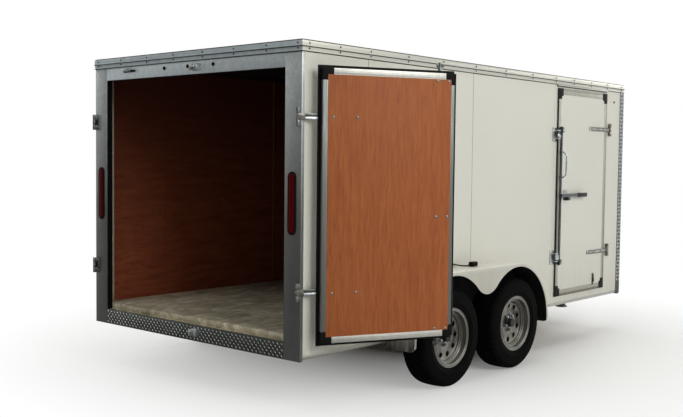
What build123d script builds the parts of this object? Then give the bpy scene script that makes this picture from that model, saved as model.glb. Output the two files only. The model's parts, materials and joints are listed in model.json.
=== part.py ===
from build123d import *
import math
import os

# Tandem axle enclosed trailer, in millimetres. The model is laid out from the rear face of the
# body, with x forward, y to the left and z up from the ground, and is moved along x at the end so
# that the origin lies on the ground under the middle of the whole trailer.

# Body
HALF_WIDTH = 1067.0
LENGTH = 4350.0
BASE = 338.0
WALL_HIGH = 1890.0
WALL = 40.0
LINING = 8.0
CHASSIS_HIGH = 90.0
DECK = 18.0
FLOOR_STEP = 40.0
SEAM_PITCH = 1219.0
SEAM_GAP = 2.0
SEAL = 3.0
DECK_BOTTOM = BASE + CHASSIS_HIGH
DECK_TOP = DECK_BOTTOM + DECK
FLOOR_TOP = DECK_TOP + FLOOR_STEP
RAIL_BOTTOM = BASE + WALL_HIGH
INSIDE_WALL = HALF_WIDTH - WALL
FRONT_WALL = LENGTH - WALL

# Rear frame
POST_WIDE = 141.0
HEADER_HIGH = 91.0
POST_FACE = 25.0
POST_DEEP = 44.0
DOORWAY_HALF = HALF_WIDTH - POST_WIDE
DOORWAY_TOP = RAIL_BOTTOM - HEADER_HIGH

# Side doorway in the right wall
SIDE_WIDE = 886.0
SIDE_TO_FRONT = 355.0
SIDE_BELOW_DECK = 8.0
SIDE_LINTEL = 40.0
SEAM_BEHIND_DOORWAY = 53.0
PANEL_LEAST = 300.0
SIDE_FRONT = LENGTH - SIDE_TO_FRONT
SIDE_REAR = SIDE_FRONT - SIDE_WIDE
SIDE_BOTTOM = DECK_TOP - SIDE_BELOW_DECK
SIDE_TOP = RAIL_BOTTOM - SIDE_LINTEL

# Wheels and fenders
TYRE_RADIUS = 345.0
TYRE_WIDE = 205.0
TYRE_TO_WALL = 20.5
TYRE_GAP = 154.0
AXLES_TO_FRONT = 2625.0
AXLE_Z = TYRE_RADIUS
TYRE_Y = HALF_WIDTH + TYRE_TO_WALL + TYRE_WIDE / 2
AXLES_MID = LENGTH - AXLES_TO_FRONT
AXLES_HALF = TYRE_RADIUS + TYRE_GAP / 2
AXLES = {"rear": AXLES_MID - AXLES_HALF, "front": AXLES_MID + AXLES_HALF}
FENDER_OVER_TYRE = 110.0
FENDER_LIP = 21.0
FENDER_PAST_TYRE = 7.5
FENDER_SHEET = 4.0
FENDER_DROP = 40.0
FENDER_RADIUS = TYRE_RADIUS + FENDER_OVER_TYRE
FENDER_EDGE = FENDER_RADIUS - FENDER_LIP
FENDER_OUT = TYRE_Y + TYRE_WIDE / 2 + FENDER_PAST_TYRE
FENDER_END = AXLE_Z - FENDER_DROP
FENDER_TOP = AXLE_Z + FENDER_RADIUS


def block(x0, x1, y0, y1, z0, z1):
    """A box between two corners."""
    low = (Align.MIN, Align.MIN, Align.MIN)
    return Pos(x0, y0, z0) * Box(x1 - x0, y1 - y0, z1 - z0, align=low)


def upright(x, y, z0, z1, radius):
    """A round bar standing on z0."""
    low = (Align.CENTER, Align.CENTER, Align.MIN)
    return Pos(x, y, z0) * Cylinder(radius, z1 - z0, align=low)


def crosswise(x, z, y0, y1, radius):
    """A round bar lying along y from y0 to y1."""
    low = (Align.CENTER, Align.CENTER, Align.MIN)
    return Pos(x, y0, z) * Rot(-90, 0, 0) * Cylinder(radius, y1 - y0, align=low)


def lengthwise(y, z, x0, x1, radius):
    """A round bar lying along x from x0 to x1."""
    low = (Align.CENTER, Align.CENTER, Align.MIN)
    return Pos(x0, y, z) * Rot(0, 90, 0) * Cylinder(radius, x1 - x0, align=low)


def plan(corners, z0, z1):
    """A plan outline given height from z0 to z1."""
    return Pos(0, 0, z0) * extrude(Polygon(*corners, align=None), amount=z1 - z0)


def side_view(outline, y0, y1):
    """A side-view outline given thickness from y0 to y1 on the right side."""
    return Pos(0, -y0, 0) * extrude(Plane.XZ * outline, amount=y1 - y0)


def left_of(piece):
    """The mirror copy on the left side."""
    return mirror(piece, about=Plane.XZ)


def pair(piece):
    """A right-hand piece with its left-hand copy."""
    return [piece, left_of(piece)]


def panel_spans(start, end):
    """The stretches of wall between start and end, with a gap at each seam."""
    spans = []
    panel_end = end
    seam = SIDE_REAR - SEAM_BEHIND_DOORWAY
    while seam > start + PANEL_LEAST:
        spans.insert(0, (seam + SEAM_GAP / 2, panel_end))
        panel_end = seam - SEAM_GAP / 2
        seam -= SEAM_PITCH
    return [(start, panel_end)] + spans


parts = {}

# Chassis: side rails, crossmembers between them and a front beam as wide as the body
RAIL_WIDE = 60.0
CROSS_PITCH = 610.0
CROSS_WIDE = 50.0
rail_inside = INSIDE_WALL - RAIL_WIDE
rail = block(POST_DEEP, FRONT_WALL, -INSIDE_WALL, -rail_inside, BASE, DECK_BOTTOM)
parts["chassis_side_rails"] = pair(rail)
members = [block(FRONT_WALL, LENGTH, -HALF_WIDTH, HALF_WIDTH, BASE, DECK_BOTTOM)]
cross_x = POST_DEEP
while cross_x < FRONT_WALL - 2 * CROSS_WIDE:
    members.append(block(cross_x, cross_x + CROSS_WIDE, -rail_inside, rail_inside, BASE, DECK_BOTTOM))
    cross_x += CROSS_PITCH
parts["chassis_crossmembers"] = members

# Deck, notched round the rear posts, with the floor a step above the sill behind the doors
deck = block(POST_FACE, POST_DEEP, -DOORWAY_HALF, DOORWAY_HALF, DECK_BOTTOM, DECK_TOP)
deck += block(POST_DEEP, FRONT_WALL, -INSIDE_WALL, INSIDE_WALL, DECK_BOTTOM, FLOOR_TOP)
parts["deck"] = [deck]

# Tongue: two rails from the front beam to the coupler
TONGUE_BACK_Y = 560.0
TONGUE_TIP_Y = 46.0
TONGUE_LONG = 1120.0
TONGUE_HALF = 25.0
tongue_tip = LENGTH + TONGUE_LONG
tongue_corners = (
    (LENGTH, -TONGUE_BACK_Y - TONGUE_HALF),
    (tongue_tip, -TONGUE_TIP_Y - TONGUE_HALF),
    (tongue_tip, -TONGUE_TIP_Y + TONGUE_HALF),
    (LENGTH, -TONGUE_BACK_Y + TONGUE_HALF),
)
parts["tongue_rails"] = pair(plan(tongue_corners, BASE, DECK_BOTTOM))

# Coupler with a socket for a tow ball, open downwards
BALL_BORE = 29.6
BALL_AHEAD = 80.0
SOCKET_SHELL = 12.4
SOCKET_BELOW = 10.0
SOCKET_DEEP = 30.0
COUPLER_LONG = 220.0
COUPLER_HALF = 55.0
LATCH_LONG = 100.0
LATCH_HALF = 14.0
LATCH_HIGH = 30.0
LATCH_BACK = 70.0
ball_x = tongue_tip + BALL_AHEAD
socket_radius = BALL_BORE + SOCKET_SHELL
socket_bottom = DECK_BOTTOM - SOCKET_BELOW
socket_end = socket_bottom + SOCKET_DEEP
coupler_top = socket_end + socket_radius - SOCKET_SHELL / 3
coupler_corners = (
    (ball_x - COUPLER_LONG, -COUPLER_HALF),
    (tongue_tip, -COUPLER_HALF),
    (ball_x, -socket_radius),
    (ball_x, socket_radius),
    (tongue_tip, COUPLER_HALF),
    (ball_x - COUPLER_LONG, COUPLER_HALF),
)
coupler = plan(coupler_corners, DECK_BOTTOM, coupler_top)
coupler += upright(ball_x, 0, socket_bottom, coupler_top, socket_radius)
latch_x = ball_x - COUPLER_LONG + LATCH_BACK
coupler += block(
    latch_x, latch_x + LATCH_LONG, -LATCH_HALF, LATCH_HALF, coupler_top, coupler_top + LATCH_HIGH
)
coupler -= upright(ball_x, 0, socket_bottom, socket_end, BALL_BORE)
coupler -= Pos(ball_x, 0, socket_end) * Sphere(BALL_BORE)
parts["coupler"] = [coupler]

# Jack: a plate on the tongue rails, a tube through it and a leg with a foot on the ground
JACK_BEHIND_TIP = 252.0
PLATE_BACK = 98.0
PLATE_FRONT = 92.0
PLATE_THICK = 8.0
TUBE_RADIUS = 28.5
TUBE_BELOW = 76.0
TUBE_ABOVE = 477.0
HEAD_RADIUS = 36.0
HEAD_HIGH = 45.0
LEG_RADIUS = 24.0
FOOT_RADIUS = 62.0
FOOT_THICK = 10.0
FOOT_CONE = 60.0
CRANK_RADIUS = 8.0
CRANK_OUT = 150.0
CRANK_DROP = 170.0
jack_x = tongue_tip - JACK_BEHIND_TIP
tongue_slope = (TONGUE_BACK_Y - TONGUE_TIP_Y) / TONGUE_LONG


def tongue_outer(x):
    """How far out the tongue rails reach at x."""
    return TONGUE_TIP_Y + TONGUE_HALF + tongue_slope * (tongue_tip - x)


plate_x0 = jack_x - PLATE_BACK
plate_x1 = jack_x + PLATE_FRONT
plate_corners = (
    (plate_x0, -tongue_outer(plate_x0)),
    (plate_x1, -tongue_outer(plate_x1)),
    (plate_x1, tongue_outer(plate_x1)),
    (plate_x0, tongue_outer(plate_x0)),
)
plate_top = DECK_BOTTOM + PLATE_THICK
plate = plan(plate_corners, DECK_BOTTOM, plate_top)
plate -= upright(jack_x, 0, DECK_BOTTOM, plate_top, TUBE_RADIUS)
parts["jack_plate"] = [plate]
tube_bottom = BASE - TUBE_BELOW
tube_top = DECK_BOTTOM + TUBE_ABOVE
head_top = tube_top + HEAD_HIGH
crank_z = tube_top + HEAD_HIGH / 2
tube = upright(jack_x, 0, tube_bottom, tube_top, TUBE_RADIUS)
tube += upright(jack_x, 0, tube_top, head_top, HEAD_RADIUS)
tube += crosswise(jack_x, crank_z, -CRANK_OUT, 0, CRANK_RADIUS)
tube += upright(jack_x, -CRANK_OUT, crank_z - CRANK_DROP, crank_z + CRANK_RADIUS, CRANK_RADIUS)
parts["jack_tube"] = [tube]
cone = Cone(FOOT_RADIUS - FOOT_THICK, LEG_RADIUS, FOOT_CONE, align=(Align.CENTER, Align.CENTER, Align.MIN))
leg = upright(jack_x, 0, 0, FOOT_THICK, FOOT_RADIUS) + Pos(jack_x, 0, FOOT_THICK) * cone
leg += upright(jack_x, 0, FOOT_THICK, tube_bottom, LEG_RADIUS)
parts["jack_leg"] = [leg]

# Axles: a beam under the side rails, with an arm at each end back and up to the spindle
BEAM = 70.0
BEAM_AHEAD = 150.0
BEAM_PAST_WALL = 5.0
ARM_THICK = 22.0
ARM_HALF = 32.0
SPINDLE = 17.0
BRAKE_THICK = 18.0
BRAKE_RADIUS = 126.0
HUB_BACK = 60.0
HUB_DEEP = 104.0
SPINDLE_SHORT = 6.0
arm_y = HALF_WIDTH + BEAM_PAST_WALL
brake_y = arm_y + ARM_THICK
spindle_end = TYRE_Y - HUB_BACK + HUB_DEEP - SPINDLE_SHORT
beam_z = BASE - BEAM / 2
arm_rise = AXLE_Z - beam_z
arm_long = math.hypot(BEAM_AHEAD, arm_rise)
arm_slope = math.degrees(math.atan2(arm_rise, -BEAM_AHEAD))
arm_outline = Rot(0, 0, arm_slope) * Pos(arm_long / 2, 0) * SlotCenterToCenter(arm_long, 2 * ARM_HALF)
for name, x in AXLES.items():
    beam_x = x + BEAM_AHEAD
    beam = block(beam_x - BEAM / 2, beam_x + BEAM / 2, -arm_y, arm_y, BASE - BEAM, BASE)
    end = side_view(Pos(beam_x, beam_z) * arm_outline, arm_y, brake_y)
    end += crosswise(x, AXLE_Z, -spindle_end, -arm_y, SPINDLE)
    end += crosswise(x, AXLE_Z, -brake_y - BRAKE_THICK, -brake_y, BRAKE_RADIUS)
    parts[f"axle_{name}"] = [beam + end + left_of(end)]

# Wheels, drawn about the y axis with the outboard side towards minus y
BEAD_RADIUS = 190.0
FLANGE = 20.0
FLANGE_THICK = 8.0
RIM_HALF = 80.0
BARREL = 6.0
TYRE_ROUND = 42.0
DISC_OUT = 20.0
DISC_THICK = 8.0
CENTRE_HOLE = 40.0
PAD_RADIUS = 62.0
PAD_BACK = 6.0
VENTS = 10
VENT_CIRCLE = 132.0
VENT_RADIUS = 19.0
HUB_CLEAR = 0.05
DRUM_RADIUS = 122.0
DRUM_DEEP = 52.0
HUB_NECK = 38.0
NECK_OUT = 32.0
CAP_RADIUS = 31.0
CAP_OUT = 66.0
REAR_WHEEL_TURN = 18.0


def ring(inner, outer, out0, out1):
    """A ring about the y axis, from out0 to out1 outboard of the tyre's middle."""
    return crosswise(0, 0, -out1, -out0, outer) - crosswise(0, 0, -out1, -out0, inner)


tread_deep = TYRE_RADIUS - BEAD_RADIUS - FLANGE
tyre_section = Pos(BEAD_RADIUS + FLANGE + tread_deep / 2, 0) * RectangleRounded(
    tread_deep, TYRE_WIDE, TYRE_ROUND
)
bead_deep = FLANGE + tread_deep / 2
tyre_section += Pos(BEAD_RADIUS + bead_deep / 2, 0) * Rectangle(bead_deep, 2 * RIM_HALF)
tyre = revolve(tyre_section, axis=Axis.Y)

# Rings of the rim: inner radius, outer radius, where they start and end outboard of the middle
barrel = BEAD_RADIUS - BARREL
disc_front = DISC_OUT + DISC_THICK
flange_end = RIM_HALF + FLANGE_THICK
RIM_RINGS = (
    (barrel, BEAD_RADIUS + FLANGE, -flange_end, -RIM_HALF),
    (barrel, BEAD_RADIUS, -RIM_HALF, RIM_HALF),
    (barrel, BEAD_RADIUS + FLANGE, RIM_HALF, flange_end),
    (barrel - 2 * BARREL, barrel, DISC_OUT, (disc_front + RIM_HALF) / 2),
    (barrel - 3 * BARREL, barrel, DISC_OUT, disc_front + 2 * DISC_THICK),
    (PAD_RADIUS, barrel, DISC_OUT, disc_front),
    (CENTRE_HOLE, PAD_RADIUS, DISC_OUT - PAD_BACK, disc_front - PAD_BACK),
)
rim = None
for inner, outer, out0, out1 in RIM_RINGS:
    rim = ring(inner, outer, out0, out1) if rim is None else rim + ring(inner, outer, out0, out1)
for i in range(VENTS):
    angle = 2 * math.pi * i / VENTS
    vent_x = VENT_CIRCLE * math.sin(angle)
    vent_z = VENT_CIRCLE * math.cos(angle)
    rim -= crosswise(vent_x, vent_z, -disc_front, -DISC_OUT, VENT_RADIUS)

pad_back = DISC_OUT - PAD_BACK
hub = crosswise(0, 0, HUB_BACK - DRUM_DEEP, HUB_BACK, DRUM_RADIUS)
hub += crosswise(0, 0, -pad_back, HUB_BACK, PAD_RADIUS)
hub += crosswise(0, 0, -NECK_OUT, 0, HUB_NECK)
hub += crosswise(0, 0, -CAP_OUT, 0, CAP_RADIUS)
hub -= crosswise(0, 0, HUB_BACK - HUB_DEEP, HUB_BACK, SPINDLE + HUB_CLEAR)
for name, x in AXLES.items():
    for piece_name, piece in (("tyre", tyre), ("rim", rim), ("hub", hub)):
        turn = REAR_WHEEL_TURN if name == "rear" else 0.0
        placed = Pos(x, -TYRE_Y, AXLE_Z) * Rot(0, turn, 0) * piece
        parts[f"{piece_name}_{name}_right"] = [placed]
        parts[f"{piece_name}_{name}_left"] = [left_of(placed)]

# Rear frame: posts, header, sill and the seal that lines the doorway
post = block(0, POST_FACE, -HALF_WIDTH, -DOORWAY_HALF, BASE, RAIL_BOTTOM)
post += block(POST_FACE, POST_DEEP, -INSIDE_WALL, -DOORWAY_HALF, BASE, RAIL_BOTTOM)
parts["rear_posts"] = pair(post)
header = block(0, POST_DEEP, -DOORWAY_HALF, DOORWAY_HALF, DOORWAY_TOP, RAIL_BOTTOM)
parts["rear_header"] = [header]
parts["rear_sill"] = [block(0, POST_FACE, -DOORWAY_HALF, DOORWAY_HALF, BASE, DECK_TOP)]
seal_y = DOORWAY_HALF - SEAL
seal = block(SEAL, POST_DEEP, -DOORWAY_HALF, DOORWAY_HALF, DECK_TOP, DOORWAY_TOP)
seal -= block(SEAL, POST_DEEP, -seal_y, seal_y, DECK_TOP, DOORWAY_TOP - SEAL)
parts["doorway_seal"] = [seal]

# Walls: panels as thick as the wall, standing on the bottom rails, with plywood lining inside
BOTTOM_RAIL_UP = 11.0
BOTTOM_RAIL_HIGH = 27.0
CEILING_UP = 28.0
bottom_rail = BASE + BOTTOM_RAIL_UP
wall_foot = bottom_rail + BOTTOM_RAIL_HIGH
ceiling = RAIL_BOTTOM + CEILING_UP
lining_face = INSIDE_WALL - LINING
side_doorway = block(SIDE_REAR, SIDE_FRONT, -HALF_WIDTH, 0, SIDE_BOTTOM, SIDE_TOP)


def along_wall(start, y0, y1, z0, z1):
    """The right wall's panels or sheets from start to the front wall."""
    return [block(x0, x1, -y1, -y0, z0, z1) for x0, x1 in panel_spans(start, FRONT_WALL)]


panels = along_wall(POST_FACE, INSIDE_WALL, HALF_WIDTH, wall_foot, RAIL_BOTTOM)
sheets = along_wall(POST_DEEP, lining_face, INSIDE_WALL, FLOOR_TOP, ceiling)
front_half = lining_face - SEAM_GAP
front_sheet = block(FRONT_WALL - LINING, FRONT_WALL, -front_half, front_half, FLOOR_TOP, ceiling)
parts["wall_left"] = [left_of(panel) for panel in panels]
parts["wall_right"] = panels[:-1]
parts["wall_doorway"] = [panels[-1] - side_doorway]
parts["lining"] = [left_of(sheet) for sheet in sheets] + sheets[:-1] + [front_sheet]
parts["lining_doorway"] = [sheets[-1] - side_doorway]
front_wall = block(FRONT_WALL, LENGTH, -HALF_WIDTH, HALF_WIDTH, DECK_BOTTOM, RAIL_BOTTOM)
parts["front_wall"] = [front_wall]
parts["bottom_rails"] = pair(
    block(POST_FACE, FRONT_WALL, -HALF_WIDTH, -INSIDE_WALL, bottom_rail, wall_foot)
)

# Roof panel with a rail round it: two bands, each with a drip lip along its lower edge.
# Layers of the rail: height of the layer, how far it stands out past the wall.
RAIL_LAYERS = ((5.0, 10.0), (25.0, 4.0), (5.0, 11.0), (30.0, 6.0), (6.0, 2.0))
ROOF_PANEL = 39.0
MITRE_GAP = 0.5
MITRE_OUT = 20.0
roof_ring = None
layer_z = RAIL_BOTTOM
for high, out in RAIL_LAYERS:
    layer = block(-out, LENGTH + out, -HALF_WIDTH - out, HALF_WIDTH + out, layer_z, layer_z + high)
    roof_ring = layer if roof_ring is None else roof_ring + layer
    layer_z += high
roof_top = layer_z
roof_ring -= block(WALL, FRONT_WALL, -INSIDE_WALL, INSIDE_WALL, RAIL_BOTTOM, roof_top)
mitre_far = HALF_WIDTH + MITRE_OUT
mitre_near = HALF_WIDTH - 2 * WALL
mitre_run = mitre_far - mitre_near
mitre_back = mitre_run - MITRE_OUT
mitre_front = LENGTH - mitre_back
SIDE_STRETCH = (
    (MITRE_GAP - MITRE_OUT, -mitre_far),
    (LENGTH + MITRE_OUT - MITRE_GAP, -mitre_far),
    (mitre_front - MITRE_GAP, -mitre_near),
    (mitre_back + MITRE_GAP, -mitre_near),
)
REAR_STRETCH = (
    (-MITRE_OUT, -mitre_far),
    (mitre_back, -mitre_near),
    (mitre_back, mitre_near),
    (-MITRE_OUT, mitre_far),
)
FRONT_STRETCH = (
    (LENGTH + MITRE_OUT, -mitre_far),
    (LENGTH + MITRE_OUT, mitre_far),
    (mitre_front, mitre_near),
    (mitre_front, -mitre_near),
)
stretches = [roof_ring & plan(corners, RAIL_BOTTOM, roof_top) for corners in (REAR_STRETCH, FRONT_STRETCH)]
parts["roof_rails"] = [*pair(roof_ring & plan(SIDE_STRETCH, RAIL_BOTTOM, roof_top)), *stretches]
parts["roof"] = [block(WALL, FRONT_WALL, -INSIDE_WALL, INSIDE_WALL, ceiling, ceiling + ROOF_PANEL)]

# Tread-plate guards at the front corners and across the foot of the front wall
GUARD = 3.0
GUARD_ALONG = 73.0
GUARD_ACROSS = 76.0
STONE_HIGH = 610.0
guard_y = HALF_WIDTH - GUARD_ACROSS
guard_front = LENGTH + GUARD
guard = block(LENGTH - GUARD_ALONG, guard_front, -HALF_WIDTH - GUARD, -HALF_WIDTH, bottom_rail, RAIL_BOTTOM)
guard += block(LENGTH, guard_front, -HALF_WIDTH, -guard_y, DECK_BOTTOM, RAIL_BOTTOM)
stone_half = guard_y - SEAM_GAP
stone = block(LENGTH, guard_front, -stone_half, stone_half, DECK_BOTTOM, DECK_BOTTOM + STONE_HIGH)
parts["tread_guards"] = [*pair(guard), stone]

# Fenders: a bent sheet over both wheels with an outer skirt that dips between them
LOBE_RADIUS = 180.0
END_ROUND = 40.0
lobe_rise = math.sqrt((FENDER_EDGE + LOBE_RADIUS) ** 2 - AXLES_HALF**2)
tangent_z = AXLE_Z + lobe_rise * FENDER_EDGE / (FENDER_EDGE + LOBE_RADIUS)


def stadium(radius):
    """The fender's outline in side view: two quarter rounds, a flat top and straight ends."""
    outline = Pos(AXLES_MID, AXLE_Z) * Rectangle(2 * AXLES_HALF, 2 * radius)
    for x in AXLES.values():
        outline += Pos(x, AXLE_Z) * Circle(radius)
    wide = 2 * (AXLES_HALF + radius)
    outline -= Pos(AXLES_MID, AXLE_Z - radius) * Rectangle(wide, 2 * radius)
    return outline + Pos(AXLES_MID, AXLE_Z - FENDER_DROP / 2) * Rectangle(wide, FENDER_DROP)


sheet_outline = stadium(FENDER_RADIUS) - stadium(FENDER_RADIUS - FENDER_SHEET)
valance_high = FENDER_TOP - tangent_z
skirt = Pos(AXLES_MID, tangent_z + valance_high / 2) * Rectangle(2 * AXLES_HALF, valance_high)
for x in AXLES.values():
    skirt -= Pos(x, AXLE_Z) * Circle(FENDER_EDGE)
lobe = Pos(AXLES_MID, AXLE_Z + lobe_rise) * Circle(LOBE_RADIUS)
skirt += lobe - Pos(AXLES_MID, FENDER_TOP + LOBE_RADIUS) * Rectangle(2 * LOBE_RADIUS, 2 * LOBE_RADIUS)
skirt += stadium(FENDER_RADIUS) - stadium(FENDER_EDGE)
fender = side_view(sheet_outline, HALF_WIDTH, FENDER_OUT)
fender += side_view(skirt, FENDER_OUT - FENDER_SHEET, FENDER_OUT)
fender_rear = AXLES["rear"] - FENDER_RADIUS
fender_front = AXLES["front"] + FENDER_RADIUS
round_y = END_ROUND - FENDER_OUT
round_z = FENDER_END + END_ROUND
corner = block(fender_rear, fender_front, -FENDER_OUT, round_y, FENDER_END, round_z)
corner -= lengthwise(round_y, round_z, fender_rear, fender_front, END_ROUND)
fender -= corner
parts["fenders"] = pair(fender)

# Lamps on the fenders, the rear posts, the header and the front of the walls
FENDER_LAMP = {"ahead": 25.0, "from_wall": 83.0, "long": 88.0, "wide": 44.0, "high": 36.0}
TAIL = {"from_edge": 75.0, "up": 775.0, "long": 388.0, "wide": 68.0, "rim": 12.0}
BEZEL_OUT = 8.0
LENS_OUT = 11.0
ID_LAMPS_Y = (250.0, 0.0, -260.0)
ID_LAMP = {"down": 36.0, "radius": 13.0}
SIDE_MARKER = {"from_front": 195.0, "down": 98.0, "radius": 11.0}
MARKER_OUT = 6.0


def on_rear(outline, y, z, out):
    """An outline, long way up, standing out from the rear face."""
    return Pos(0, y, z) * Rot(0, -90, 0) * extrude(outline, amount=out)


lamp_outline = SlotOverall(FENDER_LAMP["long"], FENDER_LAMP["wide"])
lamp_x = AXLES_MID + FENDER_LAMP["ahead"]
lamp_y = HALF_WIDTH + FENDER_LAMP["from_wall"]
lamp = Pos(lamp_x, -lamp_y, FENDER_TOP) * extrude(lamp_outline, amount=FENDER_LAMP["high"])
parts["fender_lamps"] = pair(lamp)
tail_y = HALF_WIDTH - TAIL["from_edge"]
tail_z = BASE + TAIL["up"] + TAIL["long"] / 2
lens_outline = SlotOverall(TAIL["long"] - 2 * TAIL["rim"], TAIL["wide"] - 2 * TAIL["rim"])
bezel_outline = SlotOverall(TAIL["long"], TAIL["wide"]) - lens_outline
parts["tail_lamp_bezels"] = pair(on_rear(bezel_outline, -tail_y, tail_z, BEZEL_OUT))
parts["tail_lamp_lenses"] = pair(on_rear(lens_outline, -tail_y, tail_z, LENS_OUT))
markers = []
for y in ID_LAMPS_Y:
    markers.append(on_rear(Circle(ID_LAMP["radius"]), y, RAIL_BOTTOM - ID_LAMP["down"], MARKER_OUT))
marker_x = LENGTH - SIDE_MARKER["from_front"]
marker_z = RAIL_BOTTOM - SIDE_MARKER["down"]
side_marker = crosswise(marker_x, marker_z, -HALF_WIDTH - MARKER_OUT, -HALF_WIDTH, SIDE_MARKER["radius"])
parts["marker_lamps"] = [*markers, *pair(side_marker)]

# Doors are drawn shut, with x inwards from the face of the wall, y from the hinge side of the
# doorway to its free side and z up from the foot of the doorway.
LEAF_OUT = 9.0
LEAF_THICK = 40.0
LEAF_IN = LEAF_THICK - LEAF_OUT
LEAF_GAP = 9.0
LIP = 4.0
LIP_OVER = 10.0
FRAME_BAR = 35.0
CORNER_ARM = 72.0
CORNER_BAR = 48.0
STRAP_THICK = 6.0
STRAP_HALF = 20.0
PIN_RADIUS = 6.0
PIN_CLEAR = 0.05
KNUCKLE = 11.0
KNUCKLE_GAP = 1.0
BUTT_HALF = 56.0
BUTT_PLATE = 4.0
PIN_OUT = LEAF_OUT + KNUCKLE + 2 * KNUCKLE_GAP


def through_leaf(y0, y1, z0, z1):
    """A block as thick as the door, given by two edges each way in either order."""
    ys = sorted((y0, y1))
    zs = sorted((z0, z1))
    return block(-LEAF_OUT, LEAF_IN, ys[0], ys[1], zs[0], zs[1])


def door_leaf(wide, high, free_over):
    """The panel, edge frame and black seal of a door for a doorway of this size."""
    y0, y1 = LEAF_GAP, wide - LEAF_GAP
    z0, z1 = LEAF_GAP, high - LEAF_GAP
    bars = [
        through_leaf(y0, y0 + FRAME_BAR, z0 + CORNER_ARM, z1 - CORNER_ARM),
        through_leaf(y1 - FRAME_BAR, y1, z0 + CORNER_ARM, z1 - CORNER_ARM),
        through_leaf(y0 + CORNER_ARM, y1 - CORNER_ARM, z0, z0 + FRAME_BAR),
        through_leaf(y0 + CORNER_ARM, y1 - CORNER_ARM, z1 - FRAME_BAR, z1),
    ]
    panel = through_leaf(y0, y1, z0, z1)
    lip_face = LIP - LEAF_OUT
    edge_seal = block(-LEAF_OUT, lip_face, -LIP_OVER, y1 + free_over, -LIP_OVER, high + LIP_OVER)
    edge_seal -= panel
    for bar in bars:
        panel -= bar
    for y, into_y in ((y0, 1), (y1, -1)):
        for z, into_z in ((z0, 1), (z1, -1)):
            corner = through_leaf(y, y + into_y * CORNER_ARM, z, z + into_z * CORNER_BAR)
            corner += through_leaf(y, y + into_y * CORNER_BAR, z, z + into_z * CORNER_ARM)
            panel -= corner
            edge_seal += corner
    return {"panel": [panel], "frame": bars, "seal": [edge_seal]}


def strap(z, pin_y, end_y):
    """A strap on the door's outer face with a barrel round the hinge pin."""
    face = -LEAF_OUT - STRAP_THICK
    bar = block(face, -LEAF_OUT, pin_y, end_y, z - STRAP_HALF, z + STRAP_HALF)
    bar += upright(-PIN_OUT, pin_y, z - STRAP_HALF, z + STRAP_HALF, KNUCKLE)
    return bar - upright(-PIN_OUT, pin_y, z - STRAP_HALF, z + STRAP_HALF, PIN_RADIUS + PIN_CLEAR)


def butt(z, pin_y, near_y, far_y):
    """A plate on the wall with two knuckles and the pin that the strap's barrel turns on."""
    piece = block(-BUTT_PLATE, 0, far_y, near_y, z - BUTT_HALF, z + BUTT_HALF)
    inner = STRAP_HALF + KNUCKLE_GAP
    for z0, z1 in ((z - BUTT_HALF, z - inner), (z + inner, z + BUTT_HALF)):
        piece += upright(-PIN_OUT, pin_y, z0, z1, KNUCKLE)
        piece += block(-PIN_OUT, 0, pin_y - KNUCKLE, pin_y + KNUCKLE, z0, z1)
    return piece + upright(-PIN_OUT, pin_y, z - BUTT_HALF, z + BUTT_HALF, PIN_RADIUS)


# A bar lock: an upright rod on the door's outer face in guides, with cams and a handle that is
# held in its catch
ROD_RADIUS = 11.0
ROD_CLEAR = 9.0
ROD_OUT = LEAF_OUT + ROD_CLEAR + ROD_RADIUS
CAM_HALF = 22.0
CAM_THICK = 6.0
GUIDE_ARM = 55.0
GUIDE_HALF = 22.0
GUIDE_PLATE = 4.0
GUIDE_WALL = 6.0
LEVER_HALF = 14.0
LEVER_THICK = 8.0
LEVER_CLEAR = 2.0
GRIP_LONG = 160.0
GRIP_HALF = 18.0
GRIP_THICK = 18.0
HASP_WIDE = 34.0
HASP_REACH = 29.0
HASP_FROM_GRIP = 135.0
LEVER_OUT = ROD_OUT + ROD_RADIUS + LEVER_CLEAR + LEVER_THICK


def bar_lock(rod_y, rod_z, guides, guide_back, lever_z, grip_y):
    """The lock in one piece and the grip on its lever, on a rod from rod_z[0] to rod_z[1]."""
    lock = upright(-ROD_OUT, rod_y, *rod_z, ROD_RADIUS)
    cap = ROD_RADIUS + GUIDE_WALL
    back = rod_y + guide_back
    for z in guides:
        z0, z1 = z - GUIDE_HALF, z + GUIDE_HALF
        lock += block(-LEAF_OUT - GUIDE_PLATE, -LEAF_OUT, rod_y - GUIDE_ARM, back, z0, z1)
        lock += block(-ROD_OUT - cap, -LEAF_OUT, rod_y - cap, min(back, rod_y + cap), z0, z1)
    z0, z1 = lever_z - LEVER_HALF, lever_z + LEVER_HALF
    lever_y = grip_y + GRIP_LONG
    lock += block(-LEVER_OUT, LEVER_THICK - LEVER_OUT, lever_y, rod_y + ROD_RADIUS, z0, z1)
    lock += block(-LEVER_OUT, -ROD_OUT, rod_y - ROD_RADIUS, rod_y + ROD_RADIUS, z0, z1)
    hasp_y = lever_y + HASP_FROM_GRIP
    lock += block(-LEVER_OUT, -LEAF_OUT, hasp_y, hasp_y + HASP_WIDE, z0 - HASP_REACH, z0)
    lock += block(
        -LEAF_OUT - GUIDE_PLATE, -LEAF_OUT, hasp_y, hasp_y + GUIDE_ARM, z0 - HASP_REACH, z1 + HASP_REACH
    )
    grip_out = LEVER_OUT + (GRIP_THICK - LEVER_THICK) / 2
    grip = block(
        -grip_out, GRIP_THICK - grip_out, grip_y, lever_y, lever_z - GRIP_HALF, lever_z + GRIP_HALF
    )
    return lock, grip


def cam(y0, y1, z0, z1):
    """A flat cam across the rod."""
    return block(-ROD_OUT - CAM_THICK, CAM_THICK - ROD_OUT, y0, y1, z0, z1)


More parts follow.
